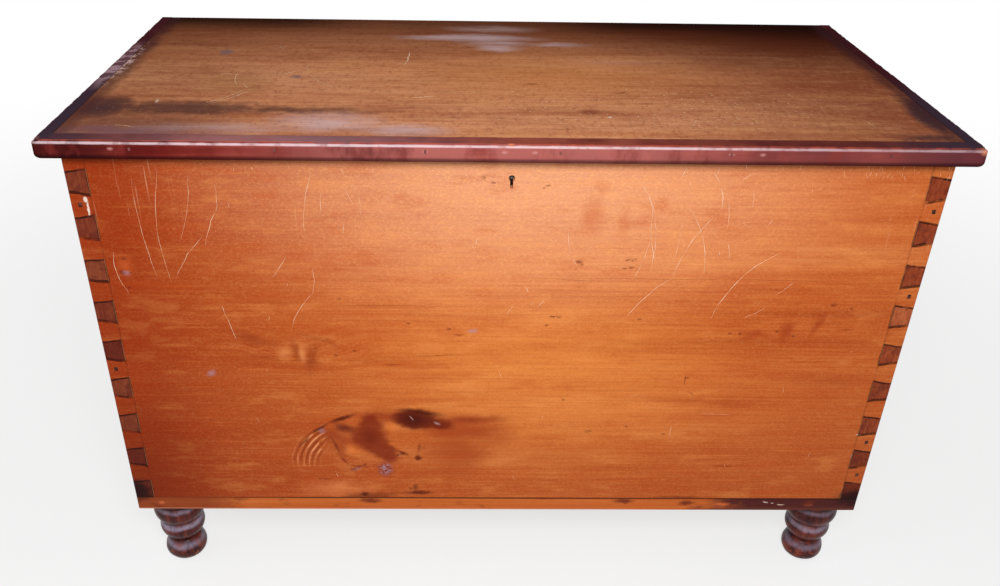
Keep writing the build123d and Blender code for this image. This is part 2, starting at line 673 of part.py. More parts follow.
def lock_strike():
    """The plate in the lid with two staples that drop through the selvage."""
    strike = strike_plate(STRIKE_Z, STRIKE_Z + STRIKE_THICKNESS)
    half_x, half_y, half_eye = STAPLE_THICKNESS / 2, STAPLE_DEPTH / 2, STAPLE_EYE_DEPTH / 2
    for x in staple_centres():
        staple = block(x - half_x, x + half_x, LOCK_Y - half_y, LOCK_Y + half_y, STAPLE_FOOT_Z, STRIKE_Z)
        staple = fillet(staple.edges().filter_by(Axis.X).group_by(Axis.Z)[0], half_y / 2)
        eye = block(
            x - half_x, x + half_x, LOCK_Y - half_eye, LOCK_Y + half_eye,
            STAPLE_FOOT_Z + STAPLE_RIM, STAPLE_EYE_TOP_Z,
        )
        strike += staple - eye
    return strike - strike_screw_cuts(SCREW_FIT)


def main():
    left_hinge, right_hinge = hinge_centres()
    nodes = {
        "front_board": front_board(),
        "back_board": back_board(),
        "left_side_board": side_board(-1),
        "right_side_board": side_board(1),
        "bottom_board_front": bottom_board(FRONT_Y, BOTTOM_SPLIT_Y),
        "bottom_board_back": bottom_board(BOTTOM_SPLIT_Y + BOTTOM_JOINT_GAP, BACK_Y),
        "bin_divider": bin_divider(),
        "feet": group(foot(x, y) for x, y in foot_places()),
        "foot_wedges": foot_wedges(),
        "bottom_nails": group(bottom_nail_cuts()),
        "corner_nails": group(corner_nail_cuts()),
        "lid_board": lid_board(),
        "lid_front_strip": lid_front_strip(),
        "lid_left_strip": lid_end_strip(-1),
        "lid_right_strip": lid_end_strip(1),
        "lid_strip_nails": group(strip_nail_cuts()),
        "hinge_left_case_leaf": hinge_leaf(left_hinge, on_lid=False),
        "hinge_left_lid_leaf": hinge_leaf(left_hinge, on_lid=True),
        "hinge_left_pin": hinge_pin(left_hinge),
        "hinge_right_case_leaf": hinge_leaf(right_hinge, on_lid=False),
        "hinge_right_lid_leaf": hinge_leaf(right_hinge, on_lid=True),
        "hinge_right_pin": hinge_pin(right_hinge),
        "hinge_case_screws": group(hinge_screw_cuts(up=False)),
        "hinge_lid_screws": group(hinge_screw_cuts(up=True)),
        "lock_plate": lock_plate(),
        "lock_cap": lock_cap(),
        "lock_key_post": lock_key_post(),
        "lock_bolt_studs": lock_bolt_studs(),
        "lock_spring": lock_spring(),
        "lock_bolt": lock_bolt(),
        "lock_screws": group(lock_screw_cuts()),
        "lock_strike": lock_strike(),
        "strike_screws": group(strike_screw_cuts()),
    }
    os.makedirs("parts", exist_ok=True)
    for name, shape in nodes.items():
        export_step(shape, f"parts/{name}.step")


main()
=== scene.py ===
"""The looks of the sugar chest: shellacked cherry, a dark moulded lid edge, turned feet and old iron."""

from functools import partial, reduce
from math import asin, atan2, cos, pi, radians, sin, sqrt
from random import Random

import bmesh
import bpy
from mathutils import Euler, Matrix, Vector


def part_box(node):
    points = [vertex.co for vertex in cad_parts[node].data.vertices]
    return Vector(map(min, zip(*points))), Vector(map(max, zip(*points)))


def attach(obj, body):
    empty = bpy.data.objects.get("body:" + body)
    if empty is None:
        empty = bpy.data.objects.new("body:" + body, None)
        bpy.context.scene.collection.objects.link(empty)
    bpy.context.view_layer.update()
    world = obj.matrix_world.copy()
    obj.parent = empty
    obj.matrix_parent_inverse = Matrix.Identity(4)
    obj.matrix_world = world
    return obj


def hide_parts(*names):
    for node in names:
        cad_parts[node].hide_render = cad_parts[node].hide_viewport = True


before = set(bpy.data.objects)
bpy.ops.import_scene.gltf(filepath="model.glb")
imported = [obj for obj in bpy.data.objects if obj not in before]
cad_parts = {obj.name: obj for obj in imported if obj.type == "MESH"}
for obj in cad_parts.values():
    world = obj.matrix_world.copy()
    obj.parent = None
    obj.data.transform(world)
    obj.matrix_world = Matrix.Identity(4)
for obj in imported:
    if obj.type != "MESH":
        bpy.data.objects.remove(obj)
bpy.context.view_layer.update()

MM = 0.001

# ---- Places that the frame gives ----

CASE_LOW, CASE_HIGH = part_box("front_board")
LID_LOW, LID_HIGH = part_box("lid_board")
STRIP_LOW, STRIP_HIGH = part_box("lid_front_strip")
HALF_WIDTH = CASE_HIGH.x
FRONT_Y = CASE_LOW.y
BACK_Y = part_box("back_board")[1].y
BOARD = CASE_HIGH.y - CASE_LOW.y
CASE_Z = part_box("bottom_board_front")[0].z
FLOOR_Z = CASE_LOW.z
TOP_Z = CASE_HIGH.z
LID_Z = LID_HIGH.z

# Dovetail pins, as the case is cut
PIN_COUNT = 9
PIN_ROOT = 30 * MM
PIN_TIP = 23 * MM
TOP_TAIL = 19 * MM

# Turned feet
FOOT_COLLAR = 33 * MM
FOOT_COLLAR_HEIGHT = 11 * MM
FOOT_RING_HEIGHT = 31 * MM
FOOT_UPPER_RING = 35 * MM
FOOT_UPPER_GROOVE = 28.5 * MM
FOOT_LOWER_RING = 30.5 * MM
FOOT_LOWER_GROOVE = 23.5 * MM
FOOT_NECK_RADIUS = 20.5 * MM
FOOT_NECK_HEIGHT = 7 * MM
FOOT_BALL_RADIUS = 28.5 * MM
FOOT_BALL_RISE = 16 * MM
FOOT_PAD_RADIUS = 11 * MM
TENON_RADIUS = 10 * MM
TENON_SINK = 0.3 * MM
FOOT_SIDES = 72
RING_STEPS = 14
BALL_STEPS = 10
FOOT_WEAR_DEPTH = 1.1 * MM
FOOT_WEAR_CLOUDS = 18 * MM
FOOT_WEAR_ABOVE_BALL = 0.6
FOOT_SMOOTH_ANGLE = 35

# Moulded strips round the lid
STRIP_WIDTH = 20 * MM
STRIP_SETBACK = 0.15 * MM
STRIP_SPARE = 30 * MM
STRIP_PITCH = 5 * MM
MITRE_GAP = 0.12 * MM
LID_CORNER = 7 * MM
MOULD_STEP = 1.5 * MM
MOULD_LEDGE = 3.5 * MM
MOULD_UNDER = 5.5 * MM
ARRIS_SHARE = 0.94
RIM_SHARE = 0.3
CORNER_SEGMENTS = 6
ARRIS_SEGMENTS = 5
STRIP_WEAR_DEPTH = 1.5 * MM
STRIP_WEAR_CLOUDS = 10 * MM
STRIP_WEAR_ON_FACES = 0.25
STRIP_SMOOTH_ANGLE = 32

# Pale plugs over nails along the front strip, in millimetres
STRIP_PLUGS = (-420, -93, -10, 22, 229, 262)
STRIP_PLUG_Z = 638

# How deep a mark on a face reaches into the wood
MARK_DEPTH = 14 * MM

# What is multiplied over the wood in its pores and in its grit
PORE_TINT = (0.50, 0.34, 0.24, 1.0)
GRIT_TINT = (0.62, 0.48, 0.40, 1.0)

# The colour of wood that was never varnished, and the sheen of old shellac on the case
RAW_WOOD = (168, 112, 72)
SHELLAC = {"IOR": 1.45, "Specular_IOR_Level": 0.05}


def srgb(red, green, blue):
    """A colour written as it looks, 0 to 255, turned into the linear values that a shader takes."""
    def linear(level):
        share = level / 255
        return share / 12.92 if share <= 0.04045 else ((share + 0.055) / 1.055) ** 2.4
    return (linear(red), linear(green), linear(blue), 1.0)


def on_front(x, z, y=FRONT_Y):
    """A place on the front board, from how far along and how high it lies."""
    return (x, y, z)


def on_lid(x, y, z=LID_Z):
    """A place on top of the lid, from how far along and how far back it lies."""
    return (x, y, z)


def on_strip(x, z, y=STRIP_LOW.y):
    """A place on the upright face of the lid's front strip."""
    return (x, y, z)


# ---- Shader expressions ----

class Value:
    """A socket that varies over a surface. Arithmetic on it adds Math nodes to its tree."""

    def __init__(self, paint, socket):
        self.paint = paint
        self.socket = socket

    def math(self, operation, *values):
        return self.paint.node("ShaderNodeMath", {"operation": operation}, (self, *values))

    def __add__(self, other):
        return self.math("ADD", other)

    def __sub__(self, other):
        return self.math("SUBTRACT", other)

    def __rsub__(self, other):
        return self.paint.node("ShaderNodeMath", {"operation": "SUBTRACT"}, (other, self))

    def __mul__(self, other):
        return self.math("MULTIPLY", other)

    def __truediv__(self, other):
        return self.math("DIVIDE", other)

    def __abs__(self):
        return self.math("ABSOLUTE")

    __radd__ = __add__
    __rmul__ = __mul__

    def least(self, other):
        return self.math("MINIMUM", other)

    def most(self, other):
        return self.math("MAXIMUM", other)

    def below(self, limit):
        """1 where the value lies under the limit and 0 elsewhere, with a hard edge."""
        return self.math("LESS_THAN", limit)

    def stain(self, mask, red, green, blue):
        """This colour with another one laid over it, as thickly as the mask says."""
        return self.paint.mix(mask, self, srgb(red, green, blue))

    def rise(self, start, end):
        """0 at start and 1 at end, with soft ends; start may lie above end."""
        settings = {"interpolation_type": "SMOOTHSTEP"}
        return self.paint.node("ShaderNodeMapRange", settings, (self, start, end, 0.0, 1.0))

    def band(self, middle, half):
        """1 at the middle and 0 beyond half its width on either side."""
        return abs(self - middle).rise(half, 0.25 * half)


def strongest(*masks):
    """The largest of several masks at each place."""
    return reduce(Value.most, masks)


class Paint:
    """One node tree, emptied and then filled by a single method."""

    def __init__(self, tree):
        self.tree = tree
        self.tree.nodes.clear()

    def node(self, kind, settings=(), inputs=(), out=0):
        """Adds a node: its settings first, then its sockets' values or links, by place or by name."""
        node = self.tree.nodes.new(kind)
        for name, value in dict(settings).items():
            if name == "stops":
                self.set_stops(node.color_ramp, value)
            else:
                setattr(node, name, value)
        pairs = inputs.items() if isinstance(inputs, dict) else enumerate(inputs)
        for key, value in pairs:
            if isinstance(value, Value):
                self.tree.links.new(value.socket, node.inputs[key])
            else:
                node.inputs[key].default_value = value
        return Value(self, node.outputs[out]) if node.outputs else node

    @staticmethod
    def set_stops(ramp, stops):
        while len(ramp.elements) > 1:
            ramp.elements.remove(ramp.elements[-1])
        ramp.elements[0].position, ramp.elements[0].color = stops[0]
        for position, colour in stops[1:]:
            ramp.elements.new(position).color = colour

    def seen(self):
        """1 for what the camera, gloss or glass sees and 0 for light on its way to the wood."""
        rays = ("Is Camera Ray", "Is Glossy Ray", "Is Transmission Ray")
        camera, gloss, glass = (self.node("ShaderNodeLightPath", out=ray) for ray in rays)
        return camera.most(gloss).most(glass)


class Finish(Paint):
    """One material of the chest, painted in Object coordinates, so in the chest's own metres."""

    def __init__(self, name, **constants):
        self.material = bpy.data.materials.new(name)
        self.material.use_nodes = True
        super().__init__(self.material.node_tree)
        self.constants = {socket.replace("_", " "): value for socket, value in constants.items()}
        self.point = self.node("ShaderNodeTexCoord", out="Object")
        self.x = self.node("ShaderNodeSeparateXYZ", {}, (self.point,), "X")
        self.y = self.node("ShaderNodeSeparateXYZ", {}, (self.point,), "Y")
        self.z = self.node("ShaderNodeSeparateXYZ", {}, (self.point,), "Z")

    def ramp(self, value, *stops):
        return self.node("ShaderNodeValToRGB", {"stops": stops}, (value,), "Color")

    def mix(self, amount, under, over, blend="MIX"):
        settings = {"data_type": "RGBA", "blend_type": blend}
        return self.node("ShaderNodeMix", settings, {0: amount, 6: under, 7: over}, 2)

    def vector(self, x, y, z):
        return self.node("ShaderNodeCombineXYZ", {}, (x, y, z))

    def vector_math(self, operation, values, out=0):
        return self.node("ShaderNodeVectorMath", {"operation": operation}, values, out)

    def noise(self, per_metre, point=None, detail=3.0, rough=0.5, shift=0.0):
        """Clouds from 0 to 1, with so many to the metre along each axis."""
        place = self.vector_math("MULTIPLY_ADD", (point or self.point, per_metre, (shift,) * 3))
        inputs = {"Vector": place, "Scale": 1.0, "Detail": detail, "Roughness": rough}
        return self.node("ShaderNodeTexNoise", {}, inputs, "Fac")

    def spot(self, centre, radii, turn=0.0, core=0.4, point=None):
        """1 inside an ellipsoid and 0 outside; turn leans its long X axis down to the right, in degrees."""
        settings = {"vector_type": "TEXTURE"}
        inputs = (point or self.point, centre, (0.0, radians(turn), 0.0), radii)
        place = self.node("ShaderNodeMapping", settings, inputs)
        return self.vector_math("LENGTH", (place,), "Value").rise(1.0, core)

    def mark(self, face, warp, across, up, wide, high, lean=0.0, core=0.2, strength=1.0, depth=MARK_DEPTH):
        """One spot on a face, with its place and its half width and height in millimetres."""
        radii = face(wide * MM, high * MM, depth)
        spot = self.spot(face(across * MM, up * MM), radii, lean, core, warp)
        return spot if strength == 1.0 else spot * strength

    def marks(self, face, warp, *rows, depth=MARK_DEPTH):
        """The strongest of some spots on a face at each place; a row is as mark takes it."""
        return strongest(*(self.mark(face, warp, *row, depth=depth) for row in rows))

    def layers(self, colour, *pairs):
        """A colour with stains laid over it in order, each given as its mask and its own colour."""
        for mask, stain in pairs:
            colour = colour.stain(mask, *stain)
        return colour

    def warped(self, amount, per_metre, detail=2.0):
        """The place on the surface, pushed about by clouds, so that marks get uneven edges."""
        inputs = {"Vector": self.point, "Scale": per_metre, "Detail": detail}
        clouds = self.node("ShaderNodeTexNoise", {}, inputs, "Color")
        centred = self.vector_math("SUBTRACT", (clouds, (0.5,) * 3))
        return self.vector_math("MULTIPLY_ADD", (centred, (amount,) * 3, self.point))

    def ragged(self, mask, clouds, spread=0.8):
        """Breaks the soft rim of a mask up with clouds."""
        return (mask + (clouds - 0.5) * spread).rise(0.12, 0.92)

    def finish(self, colour, roughness, height, depth=0.3 * MM, metal=0.0, parts=()):
        """Joins the painted values to the surface; parts are regions, each a mask and its own colour."""
        bump = self.node("ShaderNodeBump", {}, {"Strength": 1.0, "Distance": depth, "Height": height})
        shared = {**self.constants, "Roughness": roughness, "Metallic": metal, "Normal": bump}
        surface = self.node("ShaderNodeBsdfPrincipled", {}, {**shared, "Base Color": colour})
        for mask, part_colour in parts:
            part = self.node("ShaderNodeBsdfPrincipled", {}, {**shared, "Base Color": part_colour})
            surface = self.node("ShaderNodeMixShader", {}, (mask, surface, part))
        self.node("ShaderNodeOutputMaterial", {}, {"Surface": surface})
        return self.material


# ---- Masks that the pieces share ----

def pin_pitch():
    """The height of the lowest pin and the pitch between the pins."""
    lowest = FLOOR_Z + PIN_ROOT / 2
    highest = TOP_Z - TOP_TAIL - PIN_ROOT / 2
    return lowest, (highest - lowest) / (PIN_COUNT - 1)


def pin_edge(finish, lift=0.0):
    """How far outside its pin a point lies at the case's ends: below zero inside the pin."""
    lowest, pitch = pin_pitch()
    along = (abs(finish.x) - (HALF_WIDTH - BOARD)) / BOARD
    half = PIN_ROOT / 2 - along * ((PIN_ROOT - PIN_TIP) / 2)
    offset = finish.z - (lowest - pitch / 2 - lift)
    within = offset.math("FLOORED_MODULO", pitch)
    return abs(within - pitch / 2) - half


def corner_depths(finish):
    """How deep a point lies under the nearer of the front and back faces, and under the nearer end."""
    middle = (FRONT_Y + BACK_Y) / 2
    to_face = (BACK_Y - FRONT_Y) / 2 - abs(finish.y - middle)
    to_end = HALF_WIDTH - abs(finish.x)
    return to_face, to_end


def corner_joint(finish):
    """Dark lines round the pins, on the front and back faces and on the ends, heaviest under each pin."""
    edge, under = pin_edge(finish), pin_edge(finish, 0.9 * MM)
    to_face, to_end = corner_depths(finish)
    inner = BOARD - to_end
    wobble = (finish.noise((60, 60, 60), detail=2.0) - 0.5) * (4.0 * MM)
    slanted = (edge + wobble).band(0.0, 1.5 * MM).most((under + wobble).band(0.6 * MM, 1.9 * MM))
    slanted = slanted * inner.rise(-0.5 * MM, 0.2 * MM)
    gauged = (inner + wobble * 0.4).band(0.3 * MM, 1.6 * MM)
    root = gauged * (edge.rise(0.5 * MM, -0.5 * MM) * 0.7 + 0.3)
    base = (to_face - BOARD).band(0.0, 1.3 * MM) * edge.rise(-0.5 * MM, 0.5 * MM)
    on_face = slanted.most(root) * to_face.rise(2.5 * MM, 1.0 * MM)
    on_end = slanted.most(base) * to_end.rise(2.5 * MM, 1.0 * MM) * to_face.rise(BOARD + MM, BOARD)
    broken = finish.noise((46, 46, 46), detail=3.0).rise(0.36, 0.54) * 0.7 + 0.3
    return on_face.most(on_end) * broken


def corner_soot(finish):
    """Black grime at the foot of the front corners, as far as the lowest pins."""
    left = finish.spot((-HALF_WIDTH, FRONT_Y, 148 * MM), (38 * MM, 60 * MM, 34 * MM), 0.0, 0.1)
    right = finish.spot((HALF_WIDTH, FRONT_Y, 138 * MM), (52 * MM, 60 * MM, 26 * MM), 0.0, 0.1)
    return finish.ragged(left.most(right), finish.noise((70, 70, 130), detail=4.0, rough=0.6))


def long_grain(finish, tones, height, along=None, bend=0.012, shift=0.0):
    """Bands, growth lines and flecks that run along one axis of a board; height is measured across them."""
    run = along or finish.x
    slow = finish.noise((1.6, 1.6, 5.0), finish.vector(run, 0.0, height), detail=2.0, shift=shift) - 0.5
    place = finish.vector(run, finish.y * 0.2, height + slow * bend)
    bands = finish.noise((0.9, 1.0, 17.0), place, detail=4.0, rough=0.55, shift=shift)
    lines = finish.noise((4.0, 4.0, 330.0), place, detail=3.0, rough=0.6, shift=shift)
    flecks = finish.noise((110.0, 110.0, 620.0), place, detail=3.0, rough=0.65, shift=shift)
    colour = finish.ramp(bands * 0.50 + lines * 0.28 + flecks * 0.22, *tones)
    dark = flecks.rise(0.54, 0.74) * 0.30
    colour = finish.mix(dark, colour, PORE_TINT, "MULTIPLY")
    pale = flecks.rise(0.46, 0.28) * 0.13
    return colour.stain(pale, 252, 196, 142), lines, flecks


# ---- The front board ----

FRONT_TONES = (
    (0.33, srgb(162, 66, 20)),
    (0.44, srgb(188, 90, 34)),
    (0.54, srgb(204, 110, 50)),
    (0.66, srgb(220, 136, 76)),
)

# Places where the grain swells over a knot: x, z, half width, half height and the push up, in millimetres
GRAIN_SWELLS = (
    (-112, 262, 130, 50, 22),
    (-244, 372, 100, 50, 26),
    (-437, 488, 50, 40, 14),
)
SWELL_DEPTH = 100 * MM

# Small dark spots on the front, each as x, z and half height in millimetres
SMALL_KNOTS = (
    (-127, 213, 3), (-133, 210, 2), (-108, 205, 4), (-100, 222, 2), (-179, 144, 4), (-119, 152, 3),
    (-111, 146, 4), (-104, 146, 5), (-96, 147, 3), (-177, 194, 2), (-165, 193, 2), (-160, 191, 2),
    (-192, 186, 3), (-185, 188, 2), (-231, 168, 2), (-237, 169, 2), (-224, 169, 1),
    (143, 500, 3), (136, 499, 2), (141, 490, 2), (134, 489, 2), (80, 497, 3), (84, 494, 2), (62, 422, 2),
    (54, 422, 2), (48, 411, 2), (346, 397, 2), (341, 398, 1), (386, 441, 3), (408, 436, 2), (225, 335, 2),
    (-437, 497, 3), (-441, 479, 3), (-432, 479, 2), (-437, 458, 2), (-437, 508, 1), (-31, 600, 2),
    (-20, 594, 2), (-14, 595, 1), (-4, 610, 1), (18, 594, 1), (40, 591, 2), (36, 588, 1), (269, 400, 2),
    (281, 400, 2), (325, 403, 2), (-350, 330, 1), (158, 420, 2), (256, 330, 1), (75, 300, 2), (158, 258, 2),
    (110, 250, 3), (207, 246, 2), (-205, 366, 2), (-196, 445, 2), (-116, 412, 2), (-68, 404, 2),
    (-62, 406, 1), (-182, 372, 2), (50, 340, 1), (-300, 352, 1),
)
KNOT_NARROWING = 0.55

# Thin dark dashes along the grain: x, z, half length, half height and lean
DASHES = (
    (-229, 169, 9, 1.1, 2), (409, 407, 14, 1.2, 2), (58, 423, 11, 1.0, -3), (292, 193, 22, 1.6, 4),
    (-138, 352, 14, 1.3, 0), (-248, 358, 18, 0.9, 0), (-56, 396, 9, 1.6, 0), (224, 331, 1.2, 11, 0),
    (234, 311, 9, 1.0, 38), (180, 475, 150, 0.45, 0), (330, 474, 120, 0.4, 1), (72, 473, 56, 0.4, 3),
    (-80, 366, 50, 0.8, -2), (-150, 437, 60, 0.8, 0),
)

# The part of the front with the big knot: x from and to, and its top, in millimetres
KNOT_PART = (-300, 70, 305)

# Curved growth lines left of the big knot: their middle in millimetres, and their spacing
FEATHER_MIDDLE = (-186, 190)
FEATHER_PITCH = 7.2 * MM


def part_of(x, z):
    """The part of the front that a place in millimetres lies in."""
    if KNOT_PART[0] < x < KNOT_PART[1] and z < KNOT_PART[2]:
        return "knot"
    return "left" if x < 0 else "right"


def small_marks(finish, part):
    """The dashes and specks of one part of the front."""
    wavy = finish.warped(3 * MM, 60.0, 2.0)
    dashes = finish.marks(on_front, wavy, *(row for row in DASHES if part_of(*row[:2]) == part))
    yield dashes * 0.6, (112, 40, 20)
    stretch = (KNOT_NARROWING, 1.0, 1.0)
    squeezed = finish.vector_math("MULTIPLY", (finish.warped(4 * MM, 190.0, 3.0), stretch))
    specks = []
    for x, z, half in SMALL_KNOTS:
        if part_of(x, z) == part:
            place = on_front(x * MM * KNOT_NARROWING, z * MM)
            away = finish.vector_math("DISTANCE", (squeezed, place), "Value")
            specks.append(away.rise(1.15 * half * MM, 0.25 * half * MM))
    broken = finish.noise((260, 260, 500), detail=3.0).rise(0.36, 0.50)
    yield strongest(*specks) * broken * 0.62, (92, 32, 20)


def feathers(finish):
    """Curved growth lines that fan down from the left of the big knot: a dark mask and a pale one."""
    x, z = FEATHER_MIDDLE
    point = finish.warped(9 * MM, 26.0, detail=1.0)
    away = finish.vector_math("DISTANCE", (point, on_front(x * MM, z * MM)), "Value")
    turns = away * (2 * pi / FEATHER_PITCH)
    wave = turns.math("SINE")
    band = away.rise(46 * MM, 56 * MM) * away.rise(88 * MM, 76 * MM)
    side = finish.x.rise(-220 * MM, -236 * MM) * finish.z.rise(184 * MM, 214 * MM)
    side = side * finish.z.rise(258 * MM, 240 * MM)
    broken = finish.noise((90, 90, 40), detail=3.0, shift=3.0).rise(0.34, 0.54) * band * side
    return wave.rise(0.1, 0.9) * band * side, wave.rise(-0.55, -0.97) * broken


def knot_marks(finish, soft, fine):
    """The big knot, the smears round it and the small ones under it, low on the left of the middle."""
    marks = partial(finish.marks, on_front)
    mid = finish.warped(9 * MM, 70.0, detail=4.0)
    streaks = finish.noise((60, 60, 260), detail=5.0, rough=0.65, shift=2.0)
    smear = marks(soft, (-44, 250, 86, 36, 6, 0.1), (-58, 222, 70, 66, 0, 0.1, 0.8))
    yield smear.most(marks(mid, (-68, 250, 48, 30, 8))) * 0.78, (154, 58, 24)
    halo = marks(soft, (-40, 268, 66, 10, -3, 0.0)).most(marks(mid, (-150, 272, 50, 16, 0, 0.0, 0.9)))
    yield halo * 0.75, (134, 42, 18)
    yield marks(soft, (-215, 152, 74, 22, 0, 0.0, 0.5)), (222, 130, 78)
    wedge = marks(mid, (-141, 226, 26, 7, 42, 0.1), (-140, 258, 12, 14, 0, 0.0, 0.7))
    yield wedge.most(marks(soft, (-190, 220, 17, 17, 0, 0.0, 0.8))) * 0.6, (226, 120, 50)
    rim = marks(soft, (-214, 240, 36, 20, 30, 0.0), (-208, 218, 13, 30, -14, 0.0, 0.8))
    yield rim * 0.75, (138, 48, 22)
    heart = marks(
        mid,
        (-171, 240, 38, 38, -10),
        (-168, 264, 19, 22, 0, 0.1),
        (-150, 217, 36, 24, 38),
        (-168, 256, 26, 22, 0, 0.3, 0.9),
        (-162, 228, 34, 26, 30, 0.3),
    )
    yield finish.ragged(heart, streaks, 0.5) * 0.84, (120, 36, 18)
    yield marks(mid, (-168, 240, 17, 20, -10, 0.0, 0.5)), (92, 22, 16)
    yield marks(mid, (-200, 254, 20, 9, 16, 0.1, 0.8)), (92, 30, 22)
    feather_dark, feather_pale = feathers(finish)
    yield feather_dark * 0.6, (112, 40, 18)
    yield feather_pale * 0.75, (240, 164, 112)
    upper_crack = marks(
        fine,
        (-203, 269, 25, 5.0, -22),
        (-232, 253, 20, 3.4, -36, 0.1),
        (-252, 232, 20, 2.2, -54, 0.1, 0.8),
    )
    yield upper_crack * 0.88, (74, 20, 12)
    lower_crack = marks(
        fine,
        (-213, 226, 3.6, 20, -20, 0.0),
        (-203, 200, 2.4, 14, -34, 0.0),
        (-184, 191, 20, 2.4, 4, 0.0),
    )
    yield lower_crack * 0.8, (112, 42, 24)
    crack_rows = ((-128, 214, 14, 4.4, 30, 0.1), (-106, 222, 3.4, 12, 8, 0.0, 0.7), (-108, 206, 6, 7))
    side_crack = marks(fine, *crack_rows)
    yield side_crack * 0.8, (106, 34, 18)
    dead_knot = marks(mid, (-110, 268, 44, 24, 6, 0.3), (-86, 262, 40, 16, 12, 0.1))
    yield finish.ragged(dead_knot, streaks, 0.7) * 0.9, (104, 30, 14)
    black = marks(mid, (-112, 268, 34, 19, 6, 0.1)).most(marks(fine, (-102, 279, 44, 7, 9, 0.1)))
    yield black * 0.78, (66, 18, 12)
    bark_ring = marks(mid, (-150, 186, 15, 18)).most(marks(soft, (-146, 202, 15, 10, 0, 0.1, 0.6)))
    yield bark_ring * 0.85, (130, 46, 30)
    pitted = finish.noise((330, 330, 330), detail=3.0).rise(0.42, 0.58)
    yield marks(fine, (-150, 186, 12, 14, 0, 0.1)) * pitted * 0.75, (172, 146, 156)
    bluish = marks(fine, (-229, 249, 7, 7, 0, 0.0), (-189, 186, 10, 3, -16, 0.1))
    yield bluish * 0.45, (150, 130, 140)
    smudge_rows = ((-108, 145, 26, 5, 0, 0.1), (-112, 155, 6, 10, 0, 0.1, 0.7), (-179, 142, 9, 5, 0, 0.1))
    smudge = marks(fine, *smudge_rows)
    yield smudge.most(marks(soft, (-140, 143, 60, 4, 0, 0.0, 0.4))) * 0.8, (74, 26, 16)
    glint = marks(fine, (-115, 270, 0.9, 6, -40), (-83, 262, 7, 3.0, 28, 0.0, 0.7))
    yield glint * 0.7, (196, 168, 158)


def left_marks(finish, soft, fine):
    """Redder bands and a swirl in the grain on the left, a painted sheen in the swirl, and the pale rings
    by the edge.
    """
    marks = partial(finish.marks, on_front)
    ruddy = marks(
        soft,
        (-200, 400, 70, 14, 4, 0.0),
        (-120, 352, 80, 12, 3, 0.0),
        (-400, 462, 80, 9, 3, 0.0),
        (-340, 440, 60, 10, 0, 0.0, 0.8),
    )
    yield ruddy * 0.42, (170, 66, 22)
    swirl = marks(
        soft,
        (-232, 362, 12, 34, 16, 0.0),
        (-252, 372, 10, 26, -10, 0.0, 0.8),
        (-305, 390, 50, 9, 22, 0.0, 0.8),
        (-292, 362, 44, 8, 12, 0.0, 0.5),
        (-222, 388, 40, 7, 20, 0.0, 0.7),
    )
    yield swirl * 0.62, (132, 46, 18)
    # A painted sheen: a pale patch in the swirl.
    yield marks(soft, (-244, 366, 9, 20, 0, 0.0), (-266, 368, 12, 16, 12, 0.0, 0.8)) * 0.55, (228, 146, 86)
    yield marks(soft, (-437, 490, 15, 18, 0, 0.0, 0.45)), (204, 96, 46)
    lilac = marks(fine, (-437, 478, 7, 5, 0, 0.1), (-358, 338, 9, 6, -30, 0.1), (-40, 402, 9, 4, 0, 0.1))
    yield lilac * 0.6, (168, 132, 140)


def right_marks(finish, soft):
    """Red blotches under the lid and red streaks lower down on the right."""
    marks = partial(finish.marks, on_front)
    blotch = marks(
        soft,
        (92, 555, 20, 36, 0, 0.0),
        (98, 588, 16, 14, 0, 0.0, 0.7),
        (127, 545, 11, 32, 0, 0.0, 0.6),
        (166, 573, 12, 14, 0, 0.0, 0.6),
    )
    yield blotch * 0.5, (186, 88, 46)
    red = marks(
        soft,
        (336, 404, 12, 24, 12, 0.0),
        (372, 416, 9, 26, 20, 0.0),
        (300, 398, 30, 9, 0, 0.0),
        (240, 300, 150, 12, 2, 0.0, 0.5),
        (400, 330, 90, 16, 0, 0.0, 0.5),
    )
    yield red * 0.62, (146, 46, 20)


